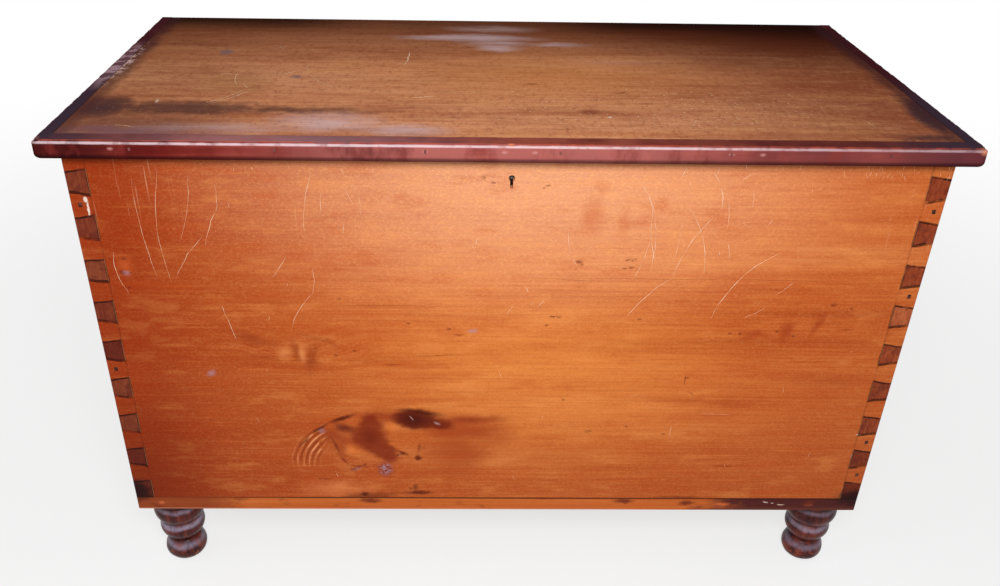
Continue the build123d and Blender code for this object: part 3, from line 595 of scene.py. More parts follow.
def front_wood(finish):
    """The bare board and its grain lines, with painted shade that makes it darker and redder to the left
    and below, and a painted highlight high in the middle.
    """
    height = finish.z
    for x, z, wide, high, push in GRAIN_SWELLS:
        swell = finish.mark(on_front, None, x, z, wide, high, 0, 0.0, depth=SWELL_DEPTH)
        height = height + swell * (push * MM)
    colour, lines, flecks = long_grain(finish, FRONT_TONES, height)
    # Painted shade: darker towards the bottom of the board.
    low = finish.z.rise(0.36, 0.13)
    # Painted light: warmer and lighter over the middle of the board.
    painted_centre_light = finish.mark(on_front, None, 50, 340, 300, 220, 0, 0.0, depth=200 * MM)
    # A painted highlight high in the middle, under the lid.
    painted_highlight = finish.mark(on_front, None, 20, 620, 480, 250, 0, 0.0, depth=200 * MM)
    mottle = finish.noise((16, 16, 46), detail=4.0, rough=0.6, shift=13.0)
    grit = finish.noise((330, 330, 480), detail=3.0, rough=0.7, shift=17.0)
    threads = finish.noise((9, 9, 300), detail=4.0, rough=0.65, shift=27.0)
    gold = finish.noise((320, 320, 620), detail=3.0, rough=0.7, shift=37.0)
    colour = finish.layers(
        colour,
        # Painted shade: darker and redder towards the left end, and darker towards the right end.
        (finish.x.rise(0.02, -0.47) * 0.80, (148, 44, 10)),
        (finish.x.rise(0.10, 0.48) * 0.42, (176, 80, 38)),
        (low * 0.55, (158, 60, 26)),
        (painted_centre_light * 0.42, (230, 144, 70)),
        (painted_highlight * 0.62, (234, 174, 136)),
        (mottle.rise(0.50, 0.70) * 0.34, (178, 72, 28)),
        (mottle.rise(0.48, 0.30) * 0.20, (236, 154, 84)),
    )
    colour = finish.mix(grit.rise(0.50, 0.68) * 0.22, colour, GRIT_TINT, "MULTIPLY")
    colour = finish.layers(
        colour,
        (grit.rise(0.50, 0.34) * 0.07, (246, 176, 118)),
        (threads.rise(0.52, 0.70) * (0.30 - painted_highlight * 0.24), (150, 60, 24)),
        (threads.rise(0.47, 0.32) * 0.16, (240, 150, 78)),
        (gold.rise(0.50, 0.66) * (painted_highlight * 0.30 + 0.08), (250, 184, 112)),
        # Painted shade: darkest at the left end, most of all in its lower corner.
        (finish.x.rise(-0.33, -0.46) * 0.42, (138, 34, 6)),
        (finish.x.rise(-0.32, -0.48) * low * 0.62, (112, 36, 16)),
    )
    return colour, lines, flecks


def front_wear(finish, inside):
    """What lies over the front's wood and marks: rubs, filler, grime, a painted shadow along the foot, soot
    and the joints' cut ends.
    """
    rubs = finish.noise((620, 620, 14), detail=1.0, shift=2.0).rise(0.67, 0.80)
    rubs = rubs * finish.noise((7, 7, 7), detail=2.0).rise(0.50, 0.64) * finish.z.rise(0.42, 0.60)
    filler = finish.marks(
        on_front,
        finish.warped(3 * MM, 260.0, 3.0),
        (-465.5, 570, 3.4, 4.5, 0, 0.5),
        (-464.5, 558, 1.5, 13, 4, 0.5),
        (-464.5, 546, 3.2, 4.5, 0, 0.5),
        (460, 246, 5, 1.5, 10, 0.4),
        (459, 210, 1.6, 6, 0, 0.4),
        depth=4 * MM,
    )
    # A painted shadow: a dark line along the foot of the board, where it meets the bottom board.
    seam_shadow = (finish.z - FLOOR_Z).rise(1.8 * MM, 0.3 * MM) * (finish.x.rise(-0.32, -0.24) * 0.75 + 0.25)
    smudges = finish.noise((16, 16, 60), detail=4.0, shift=6.0).rise(0.52, 0.66)
    smudges = smudges * finish.z.rise(0.150, 0.138)
    smudges = smudges * finish.x.rise(-0.30, -0.18) * 0.75
    # Dark joint lines and grime, together with the painted shadow along the foot.
    grime_and_seam_shadow = corner_joint(finish).most(seam_shadow).most(smudges * 0.7)
    to_face, to_end = corner_depths(finish)
    cut_end = (to_face - to_end).rise(-0.2 * MM, 0.4 * MM)
    return (
        (rubs * 0.30, (246, 196, 152)),
        (filler * 0.85, (238, 222, 206)),
        (grime_and_seam_shadow * 0.88, (52, 18, 12)),
        (corner_soot(finish) * 0.75, (34, 16, 18)),
        (cut_end * 0.75, (98, 42, 22)),
        (inside * 0.7, RAW_WOOD),
    )


def front_finish():
    """The front board: satin shellac over cherry, with a painted highlight in the middle, and grimy along
    its joints.
    """
    finish = Finish("cherry_front", **SHELLAC)
    colour, lines, flecks = front_wood(finish)
    inside = (finish.y - CASE_HIGH.y).rise(-1.0 * MM, -0.2 * MM)
    wear = front_wear(finish, inside)
    soft = finish.warped(20 * MM, 40.0, detail=5.0)
    fine = finish.warped(5 * MM, 170.0, detail=4.0)
    marks = {
        "right": right_marks(finish, soft),
        "left": left_marks(finish, soft, fine),
        "knot": knot_marks(finish, soft, fine),
    }
    painted = {}
    for part, stains in marks.items():
        painted[part] = finish.layers(colour, *stains, *small_marks(finish, part), *wear)
    west, east, top = (place * MM for place in KNOT_PART)
    in_left = finish.x.below(0.0)
    in_knot = abs(finish.x - (west + east) / 2).below((east - west) / 2) * finish.z.below(top)
    gloss = finish.noise((3, 3, 14), detail=3.0)
    roughness = 0.34 + gloss * 0.16 + flecks * 0.10 + inside * 0.3
    height = lines * 0.22 + flecks * 0.20 + finish.noise((9, 9, 20), detail=2.0) * 1.4
    parts = ((in_left, painted["left"]), (in_knot, painted["knot"]))
    return finish.finish(painted["right"], roughness, height, 0.35 * MM, parts=parts)


# ---- The other boards ----

def pin_wood(finish):
    """End grain of the pins: each its own tone, darker on the left and towards the foot; and its rings."""
    lowest, pitch = pin_pitch()
    step = (finish.z - (lowest - pitch / 2)) / pitch
    number = step.math("FLOOR") + finish.x.rise(-0.1, 0.1) * 20.0
    each = finish.node("ShaderNodeTexWhiteNoise", {"noise_dimensions": "1D"}, {"W": number}, "Value")
    rings = finish.noise((420, 420, 90), detail=3.0, rough=0.7)
    clouds = finish.noise((60, 60, 60), detail=4.0, rough=0.6, shift=5.0)
    tones = ((0.28, srgb(98, 36, 22)), (0.46, srgb(144, 64, 36)), (0.62, srgb(184, 100, 60)))
    colour = finish.layers(
        finish.ramp(rings * 0.40 + clouds * 0.35 + each * 0.22, *tones),
        (finish.z.rise(0.34, 0.14) * 0.5, (86, 32, 20)),
        (clouds.rise(0.50, 0.64) * 0.6, (84, 32, 28)),
        (finish.x.rise(0.1, -0.1) * 0.62, (84, 28, 24)),
    )
    return colour, rings


def end_board_finish():
    """The side boards: cherry with its grain front to back, the pins' end grain at both corners, and a
    painted shadow along their foot.
    """
    finish = Finish("cherry_end", **SHELLAC)
    colour, lines, _ = long_grain(finish, FRONT_TONES, finish.z, finish.y, 0.03, 7.0)
    stains = finish.noise((5, 5, 9), detail=4.0, shift=2.0).rise(0.50, 0.72)
    colour = finish.layers(colour, (0.55, (146, 66, 34)), (stains * 0.35, (112, 42, 20)))
    to_face, to_end = corner_depths(finish)
    cut_end = (to_end - to_face).rise(-0.2 * MM, 0.4 * MM)
    pins, rings = pin_wood(finish)
    # A painted shadow: a dark line along the foot of the board, where it meets the bottom board.
    seam_shadow = (finish.z - FLOOR_Z).rise(1.6 * MM, 0.3 * MM)
    inside = (BOARD - to_end).rise(1.0 * MM, 0.2 * MM)
    colour = finish.layers(
        finish.mix(cut_end, colour, pins),
        (corner_joint(finish).most(seam_shadow) * 0.92, (36, 14, 11)),
        (corner_soot(finish) * 0.85, (26, 14, 18)),
        (inside * 0.7, RAW_WOOD),
    )
    roughness = 0.40 + finish.noise((4, 4, 12), detail=3.0) * 0.16 + inside * 0.25
    height = lines * 0.25 + rings * cut_end * 0.5 + finish.noise((9, 9, 22), detail=2.0) * 1.2
    return finish.finish(colour, roughness, height, 0.35 * MM)


def poplar(finish, shift=19.0):
    """Unvarnished poplar gone grey-brown: its colour, its growth lines and its stains."""
    tones = (
        (0.30, srgb(118, 82, 52)),
        (0.45, srgb(150, 112, 74)),
        (0.58, srgb(174, 138, 94)),
        (0.74, srgb(190, 158, 112)),
    )
    colour, lines, _ = long_grain(finish, tones, finish.z + finish.y * 0.7, None, 0.04, shift)
    stains = finish.noise((4, 4, 4), detail=4.0).rise(0.48, 0.72)
    return colour.stain(stains * 0.45, 92, 58, 38), lines, stains


def back_finish():
    """The boards that don't show, with the marks of the plane left across them."""
    finish = Finish("old_poplar", IOR=1.4, Specular_IOR_Level=0.1)
    colour, lines, stains = poplar(finish)
    colour = colour.stain(corner_joint(finish) * 0.8, 54, 32, 22)
    dust = finish.noise((30, 30, 30), detail=4.0, shift=8.0).rise(0.55, 0.75)
    colour = colour.stain(dust * 0.3, 196, 176, 148)
    height = lines * 0.6 + finish.noise((2, 34, 34), detail=1.0) * 1.6
    return finish.finish(colour, 0.68 + stains * 0.15, height, 0.4 * MM)


def varnished_edge(finish):
    """The bottom board's varnished edge: orange, blackened at its right end and chipped here and there,
    with a painted shadow under the seam and painted white glints.
    """
    patches = finish.noise((30, 30, 70), detail=4.0, rough=0.6, shift=3.0)
    left = finish.ragged(finish.x.rise(-0.31, -0.41), patches, 0.6)
    right = finish.ragged(finish.x.rise(0.22, 0.35), patches, 1.3)
    foot = (finish.z - CASE_Z).rise(8 * MM, 2 * MM)
    # A painted shadow: a dark line along the top of the edge, under the seam.
    seam_shadow = (FLOOR_Z - finish.z).rise(2.0 * MM, 0.4 * MM) * (finish.x.rise(-0.40, -0.32) * 0.6 + 0.4)
    lip = (finish.z - CASE_Z).band(1.6 * MM, 1.6 * MM) * finish.x.rise(0.25, 0.15)
    chips_and_glints = partial(finish.marks, on_front, finish.warped(7 * MM, 120.0, 3.0), depth=6 * MM)
    dirt = chips_and_glints((-172, 131, 22, 6), (166, 131, 20, 6), (252, 128, 16, 6))
    orange = chips_and_glints((300, 126, 16, 5), (420, 124, 9, 3, 0, 0.2, 0.3), (-450, 126, 6, 5))
    # Painted highlights: small white glints on the right part of the edge.
    white = chips_and_glints((358, 130, 5, 1.6), (380, 125, 6, 1.4), (368, 128, 3, 1.2))
    return finish.layers(
        long_grain(finish, FRONT_TONES, finish.z, None, 0.006, 31.0)[0],
        (0.25, (168, 72, 34)),
        (left * 0.7, (116, 40, 24)),
        (right * 0.92, (56, 22, 32)),
        (right * patches.rise(0.52, 0.62) * 0.7, (104, 40, 30)),
        (right * foot * 0.7, (104, 54, 42)),
        (patches.rise(0.56, 0.70) * 0.45, (118, 46, 26)),
        (seam_shadow * 0.85, (44, 18, 14)),
        (lip * 0.45, (222, 150, 118)),
        (dirt * 0.8, (92, 32, 24)),
        (orange * 0.8, (206, 104, 58)),
        (white * 0.8, (232, 200, 178)),
        (corner_soot(finish) * 0.7, (32, 16, 20)),
    )


def bottom_finish():
    """The bottom boards: raw poplar inside and underneath, varnished on the edges that show."""
    finish = Finish("bottom_edge", **SHELLAC)
    raw, lines, stains = poplar(finish, 23.0)
    on_face = (finish.y - FRONT_Y).rise(1.0 * MM, 0.4 * MM)
    on_end = (HALF_WIDTH - abs(finish.x)).rise(1.0 * MM, 0.4 * MM)
    edge = on_face.most(on_end)
    colour = finish.mix(edge, raw, varnished_edge(finish))
    roughness = 0.70 - edge * 0.32 + stains * 0.1
    height = lines * 0.5 + finish.noise((2, 34, 34), detail=1.0) * 1.2
    return finish.finish(colour, roughness, height, 0.4 * MM)


# ---- The lid board ----

LID_TONES = (
    (0.28, srgb(156, 86, 58)),
    (0.42, srgb(184, 114, 78)),
    (0.56, srgb(208, 142, 102)),
    (0.72, srgb(226, 166, 128)),
)


def lid_marks(finish):
    """Stains and painted reflections on top of the lid: (mask, colour) pairs in the order they are laid on.
    """
    soft = partial(finish.marks, on_lid, finish.warped(22 * MM, 26.0, detail=4.0))
    fine = partial(finish.marks, on_lid, finish.warped(8 * MM, 110.0, detail=4.0))
    clouds = finish.noise((50, 90, 50), detail=4.0, rough=0.6, shift=33.0)
    wisps = finish.noise((14, 150, 14), detail=4.0, rough=0.6, shift=12.0)
    yield soft((-330, -60, 70, 60, 0, 0.0, 0.35)), (150, 106, 62)
    dark_right = soft((300, 40, 160, 40, 0, 0.0), (380, 130, 120, 40, 0, 0.0), (250, 190, 120, 20, 0, 0.0))
    yield dark_right * 0.35, (96, 40, 26)
    black = soft((-455, -150, 50, 56), (-370, -150, 150, 40, 0, 0.1), (-240, -154, 190, 28, 0, 0.0, 0.8))
    yield finish.ragged(black, clouds, 1.0) * 0.78, (70, 44, 44)
    yield soft((-430, -205, 200, 62), (-480, -170, 60, 90)) * 0.78, (112, 66, 54)
    yield soft((-430, -226, 190, 26)) * (wisps.rise(0.34, 0.56) * 0.6 + 0.2), (120, 84, 92)
    yield soft((-460, -152, 34, 40, 0, 0.0, 0.6)), (44, 38, 48)
    blue = fine((-366, 68, 16, 20, 0, 0.1), (-259, -34, 12, 12, 0, 0.1, 0.9))
    yield finish.ragged(blue, clouds, 0.6) * 0.62, (104, 94, 104)
    # A painted reflection: a pale lilac haze across the middle and back of the lid.
    painted_reflection = soft(
        (-46, 150, 130, 24),
        (-4, 100, 44, 26, 0, 0.1),
        (-4, 126, 70, 22, 0, 0.0, 0.8),
        (74, 120, 60, 18, 0, 0.0, 0.8),
        (150, 40, 90, 16, 0, 0.0, 0.2),
    )
    yield painted_reflection * (wisps.rise(0.26, 0.54) * 0.6 + 0.22), (196, 168, 170)
    # A painted reflection: a pale haze near the front, on the left.
    front_painted_reflection = soft(
        (-200, -192, 90, 44, 0, 0.0),
        (-120, -212, 80, 24, 0, 0.0, 0.9),
        (-300, -210, 150, 22, 0, 0.0, 0.5),
    )
    yield front_painted_reflection * (wisps.rise(0.30, 0.60) * 0.5 + 0.4) * 0.7, (200, 178, 184)
    side_grime = soft((478, -150, 34, 110, 0, 0.1), (446, -222, 70, 20, 0, 0.1, 0.7))
    yield finish.ragged(side_grime, clouds, 0.8) * 0.84, (50, 40, 50)
    yield soft((50, -20, 330, 150, 0, 0.0, 0.40)), (202, 124, 58)
    # A painted reflection: a faint pale haze near the far edge.
    yield soft((-12, 196, 90, 26, 0, 0.1)) * (wisps.rise(0.26, 0.54) * 0.4 + 0.1), (190, 160, 160)
    knots = fine(
        (91, -150, 20, 14, 0, 0.1),
        (31, -52, 14, 5, 0, 0.1),
        (136, -82, 14, 5, 0, 0.1),
        (160, -120, 16, 4, 0, 0.1),
        (60, -205, 3, 14, 0, 0.1, 0.7),
    )
    yield knots * 0.6, (108, 40, 30)
    yield fine((112, -166, 4, 4, 0, 0.1), (-404, -128, 3, 8, 0, 0.1)) * 0.6, (236, 216, 196)


def lid_wood(finish):
    """The lid's bare colour: streaked and mottled and browner at its ends, with painted shade that darkens
    it towards its far edge, nearly black at the edge itself.
    """
    colour, lines, flecks = long_grain(finish, LID_TONES, finish.y, None, 0.03, 11.0)
    streak = finish.noise((6.0, 34.0, 1.0), detail=4.0, rough=0.6, shift=5.0)
    wisp = finish.noise((18, 120, 1.0), detail=4.0, rough=0.7, shift=25.0)
    mottle = finish.noise((150, 90, 70), detail=4.0, rough=0.75, shift=15.0)
    # Painted shade: darker towards the back, darkest in the far right corner and along the far edge.
    back = finish.y.rise(0.00, 0.19) * (finish.x.rise(-0.30, 0.30) * 0.22 + 0.66)
    far_corner_shade = finish.spot((0.52, 0.26, LID_Z), (0.56, 0.34, 0.5), 0.0, 0.0)
    rim = finish.y.rise(0.150, 0.236) * (abs(finish.x + 0.06).rise(0.10, 0.26) * 0.45 + 0.45)
    colour = finish.layers(
        colour,
        (finish.x.rise(0.06, 0.47) * 0.74, (120, 54, 32)),
        (finish.x.rise(-0.20, -0.48) * 0.42, (124, 72, 48)),
        (streak.rise(0.50, 0.68) * 0.34, (128, 60, 34)),
        (streak.rise(0.48, 0.32) * 0.18, (222, 158, 96)),
        (wisp.rise(0.50, 0.68) * 0.26, (122, 58, 36)),
        (wisp.rise(0.48, 0.34) * 0.14, (232, 176, 124)),
        (mottle.rise(0.50, 0.66) * 0.34, (122, 56, 36)),
        (mottle.rise(0.46, 0.32) * 0.14, (226, 166, 116)),
        (back, (106, 48, 28)),
        (far_corner_shade * 0.92, (44, 16, 12)),
        (rim, (34, 16, 14)),
    )
    return colour, lines, flecks


def lid_finish():
    """The lid board: handled and stained, with grime where the strips meet it."""
    finish = Finish("cherry_lid", IOR=1.4, Specular_IOR_Level=0.0)
    colour, lines, flecks = lid_wood(finish)
    specks = finish.noise((260, 330, 260), detail=1.0, shift=7.0)
    dented = finish.spot((0.15, -0.13, LID_Z), (0.30, 0.13, 0.02), 0.0, 0.3)
    dented = dented * 0.8 + finish.y.rise(0.10, -0.16) * 0.2
    from_side = LID_HIGH.x - abs(finish.x)
    grimy = finish.noise((36, 26, 36), detail=4.0, rough=0.6, shift=21.0)
    side_seam = finish.ragged(from_side.rise(34 * MM, 0.0), grimy, 0.9)
    side_seam = side_seam * (finish.y.rise(-0.24, 0.10) * 0.25 + 0.5)
    flakes = finish.noise((120, 90, 120), detail=5.0, rough=0.7, shift=41.0).rise(0.46, 0.56)
    pale_left = finish.mark(on_lid, None, -486, 15, 16, 120, 0, 0.2, depth=20 * MM) * flakes
    thin_side = from_side.rise(1.8 * MM, 0.5 * MM)
    thin_front = (finish.y - LID_LOW.y).rise(1.6 * MM, 0.4 * MM) * grimy.rise(0.36, 0.56) * 0.6
    under = (TOP_Z + 2 * MM - finish.z).rise(0.0, 0.5 * MM)
    colour = finish.layers(
        colour,
        *lid_marks(finish),
        (specks.rise(0.68, 0.76) * dented * 0.7, (238, 204, 170)),
        (specks.rise(0.31, 0.24) * finish.y.rise(0.18, 0.02) * 0.55, (88, 38, 28)),
        (side_seam, (64, 34, 38)),
        (pale_left * 0.85, (226, 190, 184)),
        (thin_side.most(thin_front) * 0.85, (38, 20, 24)),
        (under * 0.8, (164, 112, 72)),
    )
    roughness = 0.40 + finish.noise((5, 14, 5), detail=3.0) * 0.2 + flecks * 0.1 + under * 0.2
    height = lines * 0.22 + flecks * 0.25 + finish.noise((8, 18, 8), detail=2.0) * 1.6
    return finish.finish(colour, roughness, height, 0.35 * MM)


# ---- The lid's strips, the feet and the iron ----

def strip_face(finish, grain, run):
    """The strip's upright face: black-maroon at the left, a painted pink sheen in the middle, purple at the
    right.
    """
    tones = (
        (0.36, srgb(56, 16, 18)),
        (0.46, srgb(90, 30, 28)),
        (0.56, srgb(122, 46, 38)),
        (0.66, srgb(152, 72, 60)),
    )
    # A painted sheen: the middle of the face is pinker.
    middle = abs(finish.x + 20 * MM).rise(0.36, 0.12)
    blocks = finish.noise((34, 34, 16), detail=4.0, rough=0.65, shift=6.0)
    plug_rows = ((x, STRIP_PLUG_Z, 4.5, 2.6) for x in STRIP_PLUGS)
    plugs = finish.marks(on_strip, None, *plug_rows, depth=9 * MM)
    return finish.layers(
        finish.ramp(grain * 0.35 + run * 0.65, *tones),
        (middle * (blocks.rise(0.34, 0.58) * 0.50 + 0.28), (172, 98, 92)),
        (finish.x.rise(0.14, 0.34) * 0.55, (132, 70, 68)),
        (finish.x.rise(-0.10, -0.36) * 0.55, (104, 26, 22)),
        (finish.x.rise(-0.36, -0.47) * 0.75, (48, 16, 18)),
        (blocks.rise(0.50, 0.66) * abs(finish.x).rise(0.22, 0.34) * 0.45, (130, 50, 44)),
        (finish.x.rise(0.38, 0.49) * 0.55, (76, 38, 50)),
        (plugs * 0.55, (196, 138, 134)),
    )


def strip_top(finish, grain, run):
    """The strip's flat top: maroon in front, purple at the back right, blue-black by the front corners,
    with a painted sheen left of the middle.
    """
    tones = ((0.36, srgb(86, 36, 32)), (0.50, srgb(122, 58, 48)), (0.64, srgb(150, 80, 64)))
    ends = abs(finish.x).rise(LID_HIGH.x - 2 * MM, LID_HIGH.x + 2 * MM)
    # A painted sheen: a pale patch on the top, left of the middle.
    bloom = finish.spot((-0.24, STRIP_LOW.y, LID_Z), (0.26, 0.06, 0.02), 0.0, 0.0)
    near = abs(finish.x).rise(0.36, 0.48) * finish.y.rise(0.02, -0.14)
    return finish.layers(
        finish.ramp(grain * 0.4 + run * 0.6, *tones),
        (ends * 0.90, (66, 28, 38)),
        (bloom * 0.55, (156, 120, 128)),
        (finish.x.rise(0.05, 0.40) * 0.6, (66, 28, 32)),
        (run.rise(0.54, 0.68) * 0.25, (110, 40, 34)),
        (near * 0.82, (58, 48, 60)),
    )


def strip_finish():
    """The lid's moulded strip: old dark varnish with a painted highlight along its shoulder, painted shade
    on its underside and orange wood along its arris.
    """
    finish = Finish("dark_strip", IOR=1.5, Specular_IOR_Level=0.0)
    run = finish.noise((16, 16, 16), detail=4.0, rough=0.6, shift=3.0)
    grain = finish.noise((6, 6, 210), detail=4.0, rough=0.6)
    rub = finish.noise((70, 70, 70), detail=5.0, rough=0.6, shift=9.0)
    top = finish.z.rise(LID_Z - 1.6 * MM, LID_Z - 1.0 * MM)
    out = (STRIP_HIGH.x - abs(finish.x)).least(finish.y - STRIP_LOW.y)
    riser = (out - MOULD_LEDGE).band(0.0, 1.5 * MM) * finish.z.rise(LID_Z - 3 * MM, LID_Z - 1.2 * MM)
    # A painted highlight: a pale line along the rounded shoulder, weaker to the right.
    shoulder_highlight = out.rise(4.2 * MM, 2.2 * MM) * (finish.z - (LID_Z - 3.1 * MM)).band(0.0, 1.9 * MM)
    shoulder_highlight = shoulder_highlight * (rub.rise(0.32, 0.52) * 0.45 + 0.4) * (finish.x.rise(0.10, 0.42) * -0.40 + 0.86)
    # Painted shade: darker on the rounded underside of the strip.
    foot = (finish.z - TOP_Z).rise(7.5 * MM, 4.0 * MM)
    right, left = (STRIP_HIGH.x, STRIP_LOW.y, LID_Z - 4 * MM), (-STRIP_HIGH.x, STRIP_LOW.y, LID_Z - 2 * MM)
    right_corner = finish.spot(right, (13 * MM, 26 * MM, 6 * MM), 0.0, 0.3)
    left_corner = finish.spot(left, (12 * MM, 20 * MM, 6 * MM), 0.0, 0.3)
    corners = right_corner.most(left_corner) * rub.rise(0.44, 0.56)
    chip = finish.spot((-3 * MM, STRIP_LOW.y + 2 * MM, LID_Z - MM), (6 * MM, 4 * MM, 3 * MM), 0.0, 0.4)
    flaked = finish.mark(on_lid, None, -490, 15, 17, 120, 0, 0.3, depth=20 * MM)
    flaked = flaked * (rub.rise(0.44, 0.56) * 0.7 + 0.2)
    colour = finish.layers(
        finish.mix(top, strip_face(finish, grain, run), strip_top(finish, grain, run)),
        (riser * rub.rise(0.36, 0.56) * 0.6, (176, 76, 52)),
        (shoulder_highlight, (218, 194, 200)),
        (foot * 0.6, (34, 14, 16)),
        (corners.most(chip) * 0.75, (222, 140, 100)),
        (flaked * 0.8, (190, 156, 166)),
    )
    roughness = 0.24 + run * 0.20 + rub.rise(0.5, 0.7) * 0.12
    height = grain * 0.25 + rub * 0.5
    return finish.finish(colour, roughness, height, 0.4 * MM)


# Painted highlights in bluish bands round the feet: their height, half height and strength
FOOT_HIGHLIGHT_BANDS = (
    (98 * MM, 4.5 * MM, 0.42),
    (66 * MM, 6 * MM, 0.72),
    (28 * MM, 7 * MM, 0.52),
)
# Heights of the grooves, where painted shade darkens the feet
FOOT_GROOVES = (104 * MM, 73 * MM, 42 * MM)


def foot_finish():
    """Turned feet: nearly black varnish over red-brown, with painted highlights on the shoulders and
    painted shade in the grooves, worn on the ball.
    """
    finish = Finish("dark_foot", IOR=1.5, Specular_IOR_Level=0.14)
    grain = finish.noise((160, 160, 18), detail=4.0, rough=0.6)
    patches = finish.noise((40, 40, 40), detail=4.0, rough=0.6)
    tones = ((0.36, srgb(34, 14, 16)), (0.50, srgb(72, 28, 26)), (0.64, srgb(112, 48, 36)))
    colour = finish.ramp(grain * 0.4 + patches * 0.6, *tones)
    wavy = finish.z + (patches - 0.5) * (9 * MM)
    streaky = (grain.rise(0.34, 0.56) * 0.4 + 0.6) * (finish.x.rise(0.1, -0.1) * 0.35 + 0.8)
    # Painted highlights: bluish bands on the upper shoulders.
    for middle, half, strength in FOOT_HIGHLIGHT_BANDS:
        bloom = wavy.rise(middle - half, middle) * wavy.rise(middle + half, middle) * strength
        colour = colour.stain(bloom * streaky, 158, 146, 166)
    # Painted shade: dark bands in the grooves.
    for groove in FOOT_GROOVES:
        colour = colour.stain((finish.z - groove).band(0.0, 3.0 * MM) * 0.8, 30, 12, 14)
    specks = finish.noise((150, 150, 150), detail=3.0, rough=0.6, shift=4.0).rise(0.54, 0.62)
    worn = finish.z.rise(0.032, 0.010) * (specks * 0.7 + patches.rise(0.48, 0.62) * 0.3)
    rims = finish.noise((90, 90, 24), detail=3.0, shift=6.0).rise(0.56, 0.70)
    colour = finish.layers(
        colour,
        (worn * 0.8, (190, 92, 58)),
        (rims * 0.35, (146, 66, 46)),
        (finish.z.rise(3 * MM, 0.5 * MM) * 0.8, (70, 48, 36)),
    )
    roughness = 0.20 + patches * 0.24 + worn * 0.15
    height = grain * 0.3 + patches * 0.8
    return finish.finish(colour, roughness, height, 0.4 * MM)


def iron_finish(name, dark, pale, rust, rough):
    """Old iron with rust blooms."""
    finish = Finish(name, Specular_IOR_Level=0.5)
    cloud = finish.noise((160, 160, 160), detail=5.0, rough=0.65)
    colour = finish.ramp(cloud, (0.38, srgb(*dark)), (0.62, srgb(*pale)))
    bloom = finish.noise((90, 90, 90), detail=4.0, rough=0.6, shift=5.0).rise(0.48, 0.64)
    colour = colour.stain(bloom * 0.8, *rust)
    roughness = rough + cloud * 0.2 + bloom * 0.2
    return finish.finish(colour, roughness, cloud + bloom * 0.5, 0.15 * MM, 0.85 - bloom * 0.7)


def scratch_finish(name, dark, pale):
    """Bare dry wood and lifted varnish along a scratch."""
    finish = Finish(name, Specular_IOR_Level=0.1)
    cloud = finish.noise((70, 70, 70), detail=3.0)
    colour = finish.ramp(cloud, (0.36, srgb(*dark)), (0.62, srgb(*pale)))
    return finish.finish(colour, 0.5 + cloud * 0.2, cloud, 0.05 * MM)


# ---- Working in edit mode ----

def add_box(name, low, high):
    """A closed box between two corners, placed in its mesh, with the object left at the origin."""
    bpy.ops.object.select_all(action="DESELECT")
    bpy.ops.mesh.primitive_cube_add(size=1, location=(Vector(low) + Vector(high)) / 2)
    box = bpy.context.object
    box.name = name
    box.scale = Vector(high) - Vector(low)
    bpy.ops.object.transform_apply(location=True, rotation=False, scale=True)
    return box


def pick(piece, kind, rule):
    """Selects, in edit mode, the verts, edges or faces whose middle point meets the rule."""
    mesh = bmesh.from_edit_mesh(piece.data)
    bpy.ops.mesh.select_all(action="DESELECT")
    bpy.ops.mesh.select_mode(type=kind)
    parts = {"VERT": mesh.verts, "EDGE": mesh.edges, "FACE": mesh.faces}[kind]
    for part in parts:
        points = [part.co] if kind == "VERT" else [corner.co for corner in part.verts]
        if rule(points):
            part.select_set(True)
    mesh.select_flush_mode()
    bmesh.update_edit_mesh(piece.data)


def all_at(axis, place):
    """A rule for pick: every point lies at this place on the axis, to a hundredth of a millimetre."""
    return lambda points: all(abs(point[axis] - place) < 0.01 * MM for point in points)


def cut(point, normal, clear_outer=False, clear_inner=False):
    """Cuts the piece in edit mode through a plane; outer is the side that the normal points to."""
    bpy.ops.mesh.select_all(action="SELECT")
    fill = clear_outer or clear_inner
    sides = {"clear_outer": clear_outer, "clear_inner": clear_inner, "use_fill": fill}
    bpy.ops.mesh.bisect(plane_co=point, plane_no=normal, **sides)


def copy_of(piece, name):
    """A second object like the piece, with a mesh of its own."""
    twin = piece.copy()
    twin.data = piece.data.copy()
    twin.name = name
    bpy.context.scene.collection.objects.link(twin)
    return twin


def make_active(piece):
    """Selects the piece alone, so that operators act on nothing else."""
    bpy.ops.object.select_all(action="DESELECT")
    piece.select_set(True)
    bpy.context.view_layer.objects.active = piece


def wear_down(piece, weights, cloud_size, depth):
    """Rubs the surface inwards by clouds, most where the weight of a point is 1."""
    make_active(piece)
    group = piece.vertex_groups.new(name="wear")
    for vert in piece.data.vertices:
        group.add([vert.index], weights(vert.co), "REPLACE")
    clouds = bpy.data.textures.new("wear_clouds", "CLOUDS")
    clouds.noise_scale = cloud_size
    rub = piece.modifiers.new("wear", "DISPLACE")
    rub.texture = clouds
    rub.texture_coords = "LOCAL"
    rub.vertex_group = "wear"
    rub.mid_level = 1.0
    rub.strength = depth
    bpy.ops.object.modifier_apply(modifier="wear")


def smooth(piece, angle):
    """Shades the piece smooth, apart from edges sharper than the angle in degrees."""
    make_active(piece)
    bpy.ops.object.shade_smooth_by_angle(angle=radians(angle))


# ---- Turned feet ----

def ring_outline(groove, radius, low, high):
    """A turned ring between two grooves, as points (radius, height) going up."""
    half = (high - low) / 2
    bulge = radius - groove
    arc_radius = (half * half + bulge * bulge) / (2 * bulge)
    reach = asin(half / arc_radius)
    points = []
    for step in range(RING_STEPS + 1):
        angle = -reach + 2 * reach * step / RING_STEPS
        points.append((radius - arc_radius * (1 - cos(angle)), (low + high) / 2 + arc_radius * sin(angle)))
    return points


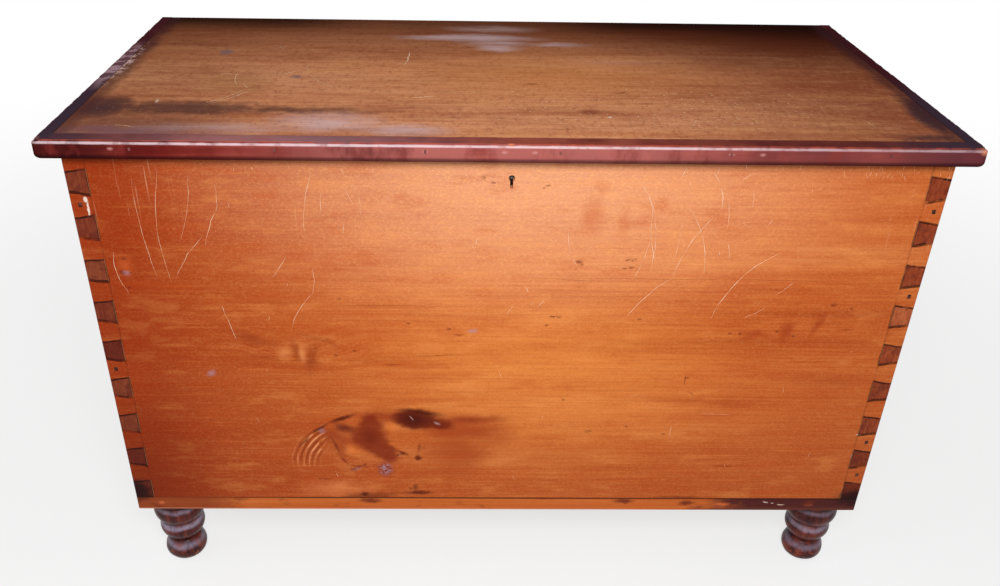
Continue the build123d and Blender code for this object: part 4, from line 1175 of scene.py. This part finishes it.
def ball_outline(widest, end):
    """An arc that leaves the ball's widest point upright and ends at a point (radius, height)."""
    across = widest[0] - end[0]
    rise = end[1] - widest[1]
    arc_radius = (across * across + rise * rise) / (2 * across)
    reach = atan2(rise, arc_radius - across)
    points = []
    for step in range(BALL_STEPS + 1):
        angle = reach * step / BALL_STEPS
        points.append((widest[0] - arc_radius * (1 - cos(angle)), widest[1] + arc_radius * sin(angle)))
    return points


def foot_outline():
    """Half the foot's outline from its pad up to the end of its tenon, as (radius, height)."""
    collar = CASE_Z - FOOT_COLLAR_HEIGHT
    upper = collar - FOOT_RING_HEIGHT
    lower = upper - FOOT_RING_HEIGHT
    widest = (FOOT_BALL_RADIUS, FOOT_BALL_RISE)
    neck = (FOOT_NECK_RADIUS, lower - FOOT_NECK_HEIGHT)
    outline = ball_outline(widest, (FOOT_PAD_RADIUS, 0.0))[::-1]
    outline += ball_outline(widest, neck)[1:]
    outline += ring_outline(FOOT_LOWER_GROOVE, FOOT_LOWER_RING, lower, upper)
    outline += ring_outline(FOOT_UPPER_GROOVE, FOOT_UPPER_RING, upper, collar)
    outline += [(FOOT_COLLAR, collar), (FOOT_COLLAR, CASE_Z), (TENON_RADIUS, CASE_Z)]
    outline.append((TENON_RADIUS, FLOOR_Z - TENON_SINK))
    return outline


def turn_foot():
    """One foot at the origin: the pad is drawn as a disc and extruded up its outline, ring by ring."""
    outline = foot_outline()
    bpy.ops.object.select_all(action="DESELECT")
    bpy.ops.mesh.primitive_circle_add(vertices=FOOT_SIDES, radius=outline[0][0], fill_type="NGON")
    foot = bpy.context.object
    bpy.ops.object.mode_set(mode="EDIT")
    bpy.ops.mesh.select_all(action="SELECT")
    for (radius, height), (next_radius, next_height) in zip(outline, outline[1:]):
        bpy.ops.mesh.extrude_region_move(TRANSFORM_OT_translate={"value": (0, 0, next_height - height)})
        share = next_radius / radius
        bpy.ops.transform.resize(value=(share, share, 1), center_override=(0, 0, next_height))
    bpy.ops.mesh.select_all(action="SELECT")
    bpy.ops.mesh.normals_make_consistent(inside=False)
    bpy.ops.object.mode_set(mode="OBJECT")
    return foot


def make_feet(finish):
    """Four copies of the turned foot, one under each corner, worn and smoothed."""
    foot = turn_foot()
    low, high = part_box("feet")
    front, back = low.y + FOOT_UPPER_RING, high.y - FOOT_UPPER_RING
    side = high.x - FOOT_UPPER_RING
    places = {"front_left": (-side, front), "front_right": (side, front)}
    places.update({"back_left": (-side, back), "back_right": (side, back)})
    for place, (x, y) in places.items():
        turned = copy_of(foot, "foot_" + place)
        turned.data.transform(Matrix.Translation((x, y, 0)))
        turned.data.materials.append(finish)
        wear_down(turned, foot_wear, FOOT_WEAR_CLOUDS, FOOT_WEAR_DEPTH)
        smooth(turned, FOOT_SMOOTH_ANGLE)
        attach(turned, "case")
        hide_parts("feet")
    bpy.data.objects.remove(foot)


def foot_wear(point):
    """No wear on the pad or on the tenon; most on the ball."""
    if point.z < 2 * MM or point.z > CASE_Z - 2 * MM:
        return 0.0
    return 1.0 if point.z < FOOT_BALL_RISE * 2 else FOOT_WEAR_ABOVE_BALL


# ---- The lid's moulded strips ----

def mould_lid_edge():
    """A block as large as the lid with the moulding run round it, ready to be cut into strips."""
    ledge = LID_Z - MOULD_STEP
    side, front, back = STRIP_HIGH.x - STRIP_SETBACK, STRIP_LOW.y + STRIP_SETBACK, BACK_Y + STRIP_SPARE
    block = add_box("lid_edge", (-side, front, TOP_Z), (side, back, ledge))
    bpy.ops.object.mode_set(mode="EDIT")
    pick(block, "EDGE", lambda points: all_at(1, front)(points) and abs(points[0].z - points[1].z) > MM)
    bpy.ops.mesh.bevel(offset=LID_CORNER, segments=CORNER_SEGMENTS, affect="EDGES")
    pick(block, "FACE", all_at(2, ledge))
    bpy.ops.mesh.inset(thickness=MOULD_LEDGE, depth=0)
    bpy.ops.mesh.extrude_region_move(TRANSFORM_OT_translate={"value": (0, 0, MOULD_STEP)})

    def outer(points):
        return all(abs(p.x) > side - LID_CORNER or p.y < front + LID_CORNER for p in points)

    def rim(points):
        """On the outline: not one of the inset's own edges."""
        middle = (points[0] + points[1]) / 2
        return outer(points) and not inside_rim(middle)

    def inside_rim(point):
        reach_x, reach_y = side - abs(point.x), point.y - front
        if reach_x < LID_CORNER and reach_y < LID_CORNER:
            away = sqrt((LID_CORNER - reach_x) ** 2 + (LID_CORNER - reach_y) ** 2)
            return LID_CORNER - away > RIM_SHARE * MOULD_LEDGE
        return min(reach_x, reach_y) > RIM_SHARE * MOULD_LEDGE

    pick(block, "EDGE", lambda points: all_at(2, ledge)(points) and rim(points))
    bpy.ops.mesh.bevel(offset=ARRIS_SHARE * MOULD_LEDGE, segments=ARRIS_SEGMENTS, affect="EDGES")
    pick(block, "EDGE", lambda points: all_at(2, TOP_Z)(points) and rim(points))
    bpy.ops.mesh.bevel(offset=MOULD_UNDER, segments=CORNER_SEGMENTS, affect="EDGES")
    bpy.ops.object.mode_set(mode="OBJECT")
    return block


def finish_strip(strip, node, along, cuts, material):
    """Cuts a strip into short lengths, wears its arris and lets it stand for its node."""
    start, stop = cuts
    count = int((stop - start) / STRIP_PITCH)
    normal = [0, 0, 0]
    normal[along] = 1
    for index in range(1, count):
        place = [0, 0, 0]
        place[along] = start + (stop - start) * index / count
        cut(place, normal)
    bpy.ops.object.mode_set(mode="OBJECT")
    wear_down(strip, strip_wear, STRIP_WEAR_CLOUDS, STRIP_WEAR_DEPTH)
    strip.data.materials.append(material)
    smooth(strip, STRIP_SMOOTH_ANGLE)
    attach(strip, "lid")
    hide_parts(node)


def strip_wear(point):
    """Most wear along the outer arris, a little on the faces, none where a strip meets another piece."""
    from_side = STRIP_HIGH.x - abs(point.x)
    out = min(from_side, point.y - STRIP_LOW.y)
    if out > STRIP_WIDTH - 1 * MM or point.z < TOP_Z + 0.5 * MM or point.y > BACK_Y - 1 * MM:
        return 0.0
    if point.z > LID_Z - 6 * MM and out < 5 * MM:
        return 1.0
    return STRIP_WEAR_ON_FACES


def make_strips(material):
    """The front strip and the two end strips, cut from one moulded block at their mitres."""
    block = mould_lid_edge()
    inner_x, inner_y = LID_HIGH.x, LID_LOW.y
    front = copy_of(block, "front_moulding")
    make_active(front)
    bpy.ops.object.mode_set(mode="EDIT")
    cut((0, inner_y, 0), (0, 1, 0), clear_outer=True)
    for side in (-1, 1):
        cut((side * (inner_x - MITRE_GAP), inner_y, 0), (side, 1, 0), clear_outer=True)
    finish_strip(front, "lid_front_strip", 0, (-STRIP_HIGH.x, STRIP_HIGH.x), material)
    for side, name in ((-1, "left"), (1, "right")):
        strip = copy_of(block, name + "_moulding")
        make_active(strip)
        bpy.ops.object.mode_set(mode="EDIT")
        cut((side * inner_x, 0, 0), (side, 0, 0), clear_inner=True)
        cut((side * (inner_x + MITRE_GAP), inner_y, 0), (side, 1, 0), clear_inner=True)
        cut((0, BACK_Y, 0), (0, 1, 0), clear_outer=True)
        finish_strip(strip, f"lid_{name}_strip", 1, (STRIP_LOW.y, BACK_Y), material)
    bpy.data.objects.remove(block)


# ---- Scratches ----

SCRATCH_BENDS = 6
SCRATCH_SHARE = 0.9
SCRATCH_THINNEST = 0.15
SCRATCH_WANDER = 0.6 * MM
SCRATCH_WANDER_SHARE = 0.02

# Scratches on the front board: start x, z, end x, z, sideways bow and width, in millimetres
FRONT_SCRATCHES = (
    (-412, 596, -402, 470, -4, 0.7), (-381, 608, -387, 465, -9, 0.8), (-350, 604, -371, 517, 4, 0.5),
    (-323, 590, -326, 556, 2, 0.8), (-326, 556, -342, 514, -2, 1.3), (-345, 525, -382, 470, -3, 0.7),
    (-447, 505, -438, 450, -5, 0.8), (-253, 502, -270, 474, 1, 0.8), (-333, 436, -321, 387, -1, 0.8),
    (-224, 485, -227, 452, 2, 0.6), (-227, 452, -256, 400, -4, 0.8), (-217, 606, -230, 532, -3, 0.8),
    (-209, 583, -212, 549, 1, 0.6), (-184, 597, -172, 565, -2, 0.7), (-174, 592, -167, 553, 4, 0.6),
    (-185, 549, -187, 528, 0, 0.5), (-142, 582, -130, 565, 2, 0.6), (65, 544, 83, 484, -5, 0.7),
    (142, 594, 158, 550, 5, 0.9), (158, 550, 168, 499, -2, 0.9), (159, 528, 146, 475, 2, 0.6),
    (172, 583, 163, 569, 0, 0.6), (193, 547, 186, 490, 2, 0.5), (198, 565, 226, 482, 8, 1.1),
    (219, 609, 234, 565, 5, 1.0), (234, 565, 190, 476, -6, 0.8), (190, 476, 141, 421, -4, 0.8),
    (312, 512, 243, 421, -12, 1.1), (241, 574, 245, 541, 1, 0.8), (259, 553, 272, 543, -3, 0.9),
    (252, 600, 272, 609, 2, 0.8), (190, 614, 185, 603, 0, 0.8), (333, 472, 313, 454, 1, 0.5),
    (306, 438, 281, 422, 1, 0.6), (-8, 345, -3, 333, 0, 0.5), (8, 438, 0, 426, 0, 0.6),
    (215, 262, 216, 240, 0, 0.5), (246, 279, 290, 278, 0, 0.5), (348, 322, 350, 312, 0, 0.6),
    (152, 579, 161, 557, 1, 0.8), (161, 557, 164, 484, 3, 0.7), (248, 522, 252, 501, 1, 0.7),
    (267, 588, 269, 566, 0, 0.6), (294, 555, 290, 546, 1, 0.9), (195, 598, 198, 585, 0, 0.7),
    (214, 608, 217, 599, 0, 0.8), (85, 593, 85, 567, 0, 0.5), (44, 446, 36, 435, 0, 0.8),
    (31, 443, 28, 438, 0, 0.8), (22, 462, 24, 456, 0, 1.2),
)

# Scratches on top of the lid: start x, y, end x, y, sideways bow and width, in millimetres
LID_SCRATCHES = (
    (-355, -22, -330, -29, 1, 1.6), (-333, -17, -323, -72, -4, 1.1), (-319, -60, -310, -79, 0, 1.0),
    (-310, -79, -349, -133, 4, 1.0), (-304, -81, -343, -135, 4, 1.0), (-125, 78, -129, 20, 2, 2.0),
    (-118, -108, -85, -100, 0, 1.4), (-313, -32, -250, 11, -12, 0.6), (-250, 11, -198, -78, -14, 0.6),
    (-305, 86, -290, 100, 0, 0.6), (-292, 84, -304, 102, 0, 0.6), (338, -78, 342, -96, 0, 0.8),
    (270, -160, 276, -178, 0, 0.8), (400, -172, 404, -190, 0, 0.8), (-428, -206, -404, -212, 2, 0.8),
)

# Seeded nicks on the front, each group as: how many, x from and to, z from and to, longest, in millimetres
NICK_GROUPS = (
    (26, 380, 480, 606, 623, 7),
    (18, -300, 380, 606, 621, 9),
    (14, -440, 440, 420, 600, 7),
    (10, -420, 430, 160, 420, 8),
)
NICK_SEED = 7
NICK_WIDTH = 0.6

# How much of its height a scratch keeps when it is pressed against its face
FRONT_PRESS = 0.25
LID_PRESS = 0.005


def nick_rows():
    """Short strokes near upright, most of them under the lid at the right."""
    wild = Random(NICK_SEED)
    rows = []
    for count, x_from, x_to, z_from, z_to, longest in NICK_GROUPS:
        for _ in range(count):
            x, z = wild.uniform(x_from, x_to), wild.uniform(z_from, z_to)
            length = wild.uniform(0.3, 1.0) * longest
            lean = wild.uniform(-0.6, 0.6)
            low = max(z - length, z_from - longest)
            rows.append((x, z, x + lean * length, low, 0, NICK_WIDTH * wild.uniform(0.7, 1.3)))
    return rows


def scratch(face, row, seed):
    """A thin tapered ridge along a bowed line, half sunk in a face, as a curve with a wandering path."""
    def at(flat):
        return Vector(face(*flat))

    x0, y0, x1, y1, bow, width = row
    start, end = Vector((x0, y0)) * MM, Vector((x1, y1)) * MM
    along = end - start
    across = Vector((-along.y, along.x)).normalized()
    sag = across * (bow * MM * 4 / 3)
    bpy.ops.curve.primitive_bezier_curve_add()
    ridge = bpy.context.object
    curve = ridge.data
    first, last = curve.splines[0].bezier_points
    bends = (
        (first, start, -along / 3 - sag, along / 3 + sag),
        (last, end, -along / 3 + sag, along / 3 - sag),
    )
    for point, place, before, after in bends:
        point.handle_left_type = point.handle_right_type = "FREE"
        point.co = at(place)
        point.handle_left, point.handle_right = at(place + before), at(place + after)
    bpy.ops.object.mode_set(mode="EDIT")
    bpy.ops.curve.select_all(action="SELECT")
    bpy.ops.curve.subdivide(number_cuts=SCRATCH_BENDS)
    bpy.ops.object.mode_set(mode="OBJECT")
    points = curve.splines[0].bezier_points
    wild = Random(seed)
    reach = min(SCRATCH_WANDER, SCRATCH_WANDER_SHARE * along.length)
    for index, point in enumerate(points):
        push = at(across * wild.uniform(-reach, reach)) - at((0, 0))
        for part in ("co", "handle_left", "handle_right"):
            setattr(point, part, getattr(point, part) + push)
        taper = sin(pi * index / (len(points) - 1)) ** 0.4
        point.radius = max(SCRATCH_THINNEST, taper) * wild.uniform(0.55, 1.0)
    curve.bevel_depth = width * SCRATCH_SHARE * MM / 2
    curve.bevel_resolution = 0
    curve.resolution_u = 3
    curve.use_fill_caps = True
    return ridge


def press_flat(axis, place, share):
    """Squeezes a mesh towards a plane across an axis."""
    centre = Vector((0, 0, 0))
    centre[axis] = place
    squeeze = Matrix.Identity(4)
    squeeze[axis][axis] = share
    return Matrix.Translation(centre) @ squeeze @ Matrix.Translation(-centre)


def make_scratches(name, rows, face, body, material, flatten):
    """All the scratches of one face as one mesh, pressed flat against it."""
    ridges = [scratch(face, row, seed) for seed, row in enumerate(rows)]
    bpy.ops.object.select_all(action="DESELECT")
    for ridge in ridges:
        ridge.select_set(True)
    bpy.context.view_layer.objects.active = ridges[0]
    bpy.ops.object.convert(target="MESH")
    bpy.ops.object.join()
    piece = bpy.context.object
    piece.name = name
    piece.data.transform(flatten)
    piece.data.materials.clear()
    piece.data.materials.append(material)
    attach(piece, body)


def scratch_faces():
    """The scratches and nicks of the front board and the scratches of the lid."""
    bare = scratch_finish("bare_scratch", (230, 148, 98), (252, 218, 188))
    dull = scratch_finish("dull_scratch", (224, 168, 112), (246, 214, 182))
    front_press, lid_press = press_flat(1, FRONT_Y, FRONT_PRESS), press_flat(2, LID_Z, LID_PRESS)
    make_scratches("front_scratches", FRONT_SCRATCHES, on_front, "case", bare, front_press)
    make_scratches("front_nicks", nick_rows(), on_front, "case", bare, front_press)
    make_scratches("lid_scratches", LID_SCRATCHES, on_lid, "lid", dull, lid_press)


# ---- The stage ----

FLOOR_WHITE = 0.86
FLOOR_GLOW_NEAR = 0.72
FLOOR_GLOW_FROM = 0.6
FLOOR_GLOW_TO = 2.4
FLOOR_SIZE = 40
WORLD_FILL = 0.37
WHITE = (1.0, 1.0, 1.0, 1.0)

# The lamps: name, place, where each points, width, height and watts
LAMPS = (
    ("key", (0.0, -1.24, 1.30), (0.0, -0.15, 0.45), 0.45, 0.35, 15.8),
    ("fill", (-1.5, -0.8, 1.9), (0.0, 0.0, 0.3), 1.2, 1.2, 5.0),
)

# The camera: focal length and sensor width in millimetres, shift, place, and angles in degrees
CAMERA_LENS = 33.77
CAMERA_SENSOR = 36.0
CAMERA_SHIFT = 0.0256
CAMERA_PLACE = (-0.0591, -1.1696, 1.0107)
CAMERA_ANGLES = (59.383, -0.885, -0.734)


def floor_finish():
    """Pale floor that keeps the chest's shadow and runs out to white."""
    material = bpy.data.materials.new("pale_floor")
    material.use_nodes = True
    paint = Paint(material.node_tree)
    place = paint.node("ShaderNodeTexCoord", out="Object")
    away = paint.node("ShaderNodeVectorMath", {"operation": "LENGTH"}, (place,), "Value")
    glow = away.rise(FLOOR_GLOW_FROM, FLOOR_GLOW_TO) * (1.0 - FLOOR_GLOW_NEAR) + FLOOR_GLOW_NEAR
    floor = paint.node("ShaderNodeBsdfDiffuse", {}, {"Color": (FLOOR_WHITE,) * 3 + (1.0,)})
    white = paint.node("ShaderNodeEmission", {}, {"Strength": 1.0})
    both = paint.node("ShaderNodeMixShader", {}, (glow * paint.seen(), floor, white))
    paint.node("ShaderNodeOutputMaterial", {}, {"Surface": both})
    return material


def lay_floor():
    """A wide plane at the foot of the chest."""
    bpy.ops.object.select_all(action="DESELECT")
    bpy.ops.mesh.primitive_plane_add(size=FLOOR_SIZE)
    floor = bpy.context.object
    floor.name = "floor"
    floor.data.materials.append(floor_finish())


def set_world():
    """White to the camera, to gloss and to glass, and an even light for everything else."""
    world = bpy.data.worlds.new("studio")
    bpy.context.scene.world = world
    world.use_nodes = True
    paint = Paint(world.node_tree)
    even = paint.node("ShaderNodeBackground", {}, {"Color": WHITE, "Strength": WORLD_FILL})
    white = paint.node("ShaderNodeBackground", {}, {"Color": WHITE, "Strength": 1.0})
    light = paint.node("ShaderNodeMixShader", {}, (paint.seen(), even, white))
    paint.node("ShaderNodeOutputWorld", {}, {"Surface": light})


def add_lamp(name, place, target, width, height, watts):
    """A soft rectangular lamp that points at its target."""
    light = bpy.data.lights.new(name, "AREA")
    light.shape = "RECTANGLE"
    light.size, light.size_y = width, height
    light.energy = watts
    lamp = bpy.data.objects.new(name, light)
    lamp.location = place
    lamp.rotation_euler = (Vector(target) - Vector(place)).to_track_quat("-Z", "Y").to_euler()
    bpy.context.scene.collection.objects.link(lamp)


def set_camera():
    """The camera in front of the chest and above it, looking down."""
    camera = bpy.data.cameras.new("camera")
    camera.lens = CAMERA_LENS
    camera.sensor_width = CAMERA_SENSOR
    camera.shift_x = CAMERA_SHIFT
    viewer = bpy.data.objects.new("camera", camera)
    viewer.location = CAMERA_PLACE
    viewer.rotation_euler = Euler([radians(angle) for angle in CAMERA_ANGLES])
    bpy.context.scene.collection.objects.link(viewer)
    bpy.context.scene.camera = viewer


def dress(nodes, material):
    """Gives some of the chest's own pieces a finish."""
    for name in nodes:
        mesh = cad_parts[name].data
        mesh.materials.clear()
        mesh.materials.append(material)


def main():
    """Finishes every piece of the chest and sets the stage round it."""
    dress(["front_board"], front_finish())
    dress(["left_side_board", "right_side_board"], end_board_finish())
    dress(["lid_board"], lid_finish())
    make_strips(strip_finish())
    make_feet(foot_finish())
    dress(["bottom_board_front", "bottom_board_back"], bottom_finish())
    dress(["back_board", "bin_divider", "foot_wedges"], back_finish())
    nail = iron_finish("nail_iron", (40, 22, 18), (86, 52, 40), (104, 50, 30), 0.5)
    buried = iron_finish("buried_nail_iron", (84, 40, 42), (124, 70, 70), (136, 78, 66), 0.5)
    hinge = iron_finish("hinge_iron", (46, 40, 38), (96, 88, 82), (104, 58, 34), 0.4)
    lock = iron_finish("lock_iron", (70, 67, 64), (122, 119, 114), (96, 60, 40), 0.36)
    dress(["bottom_nails", "corner_nails"], nail)
    dress(["lid_strip_nails"], buried)
    dress([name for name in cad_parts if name.startswith("hinge_")], hinge)
    dress([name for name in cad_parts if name.startswith("lock_") or name == "strike_screws"], lock)

    scratch_faces()
    lay_floor()
    set_world()
    for lamp in LAMPS:
        add_lamp(*lamp)
    set_camera()
    bpy.context.scene.view_settings.view_transform = "Standard"


main()
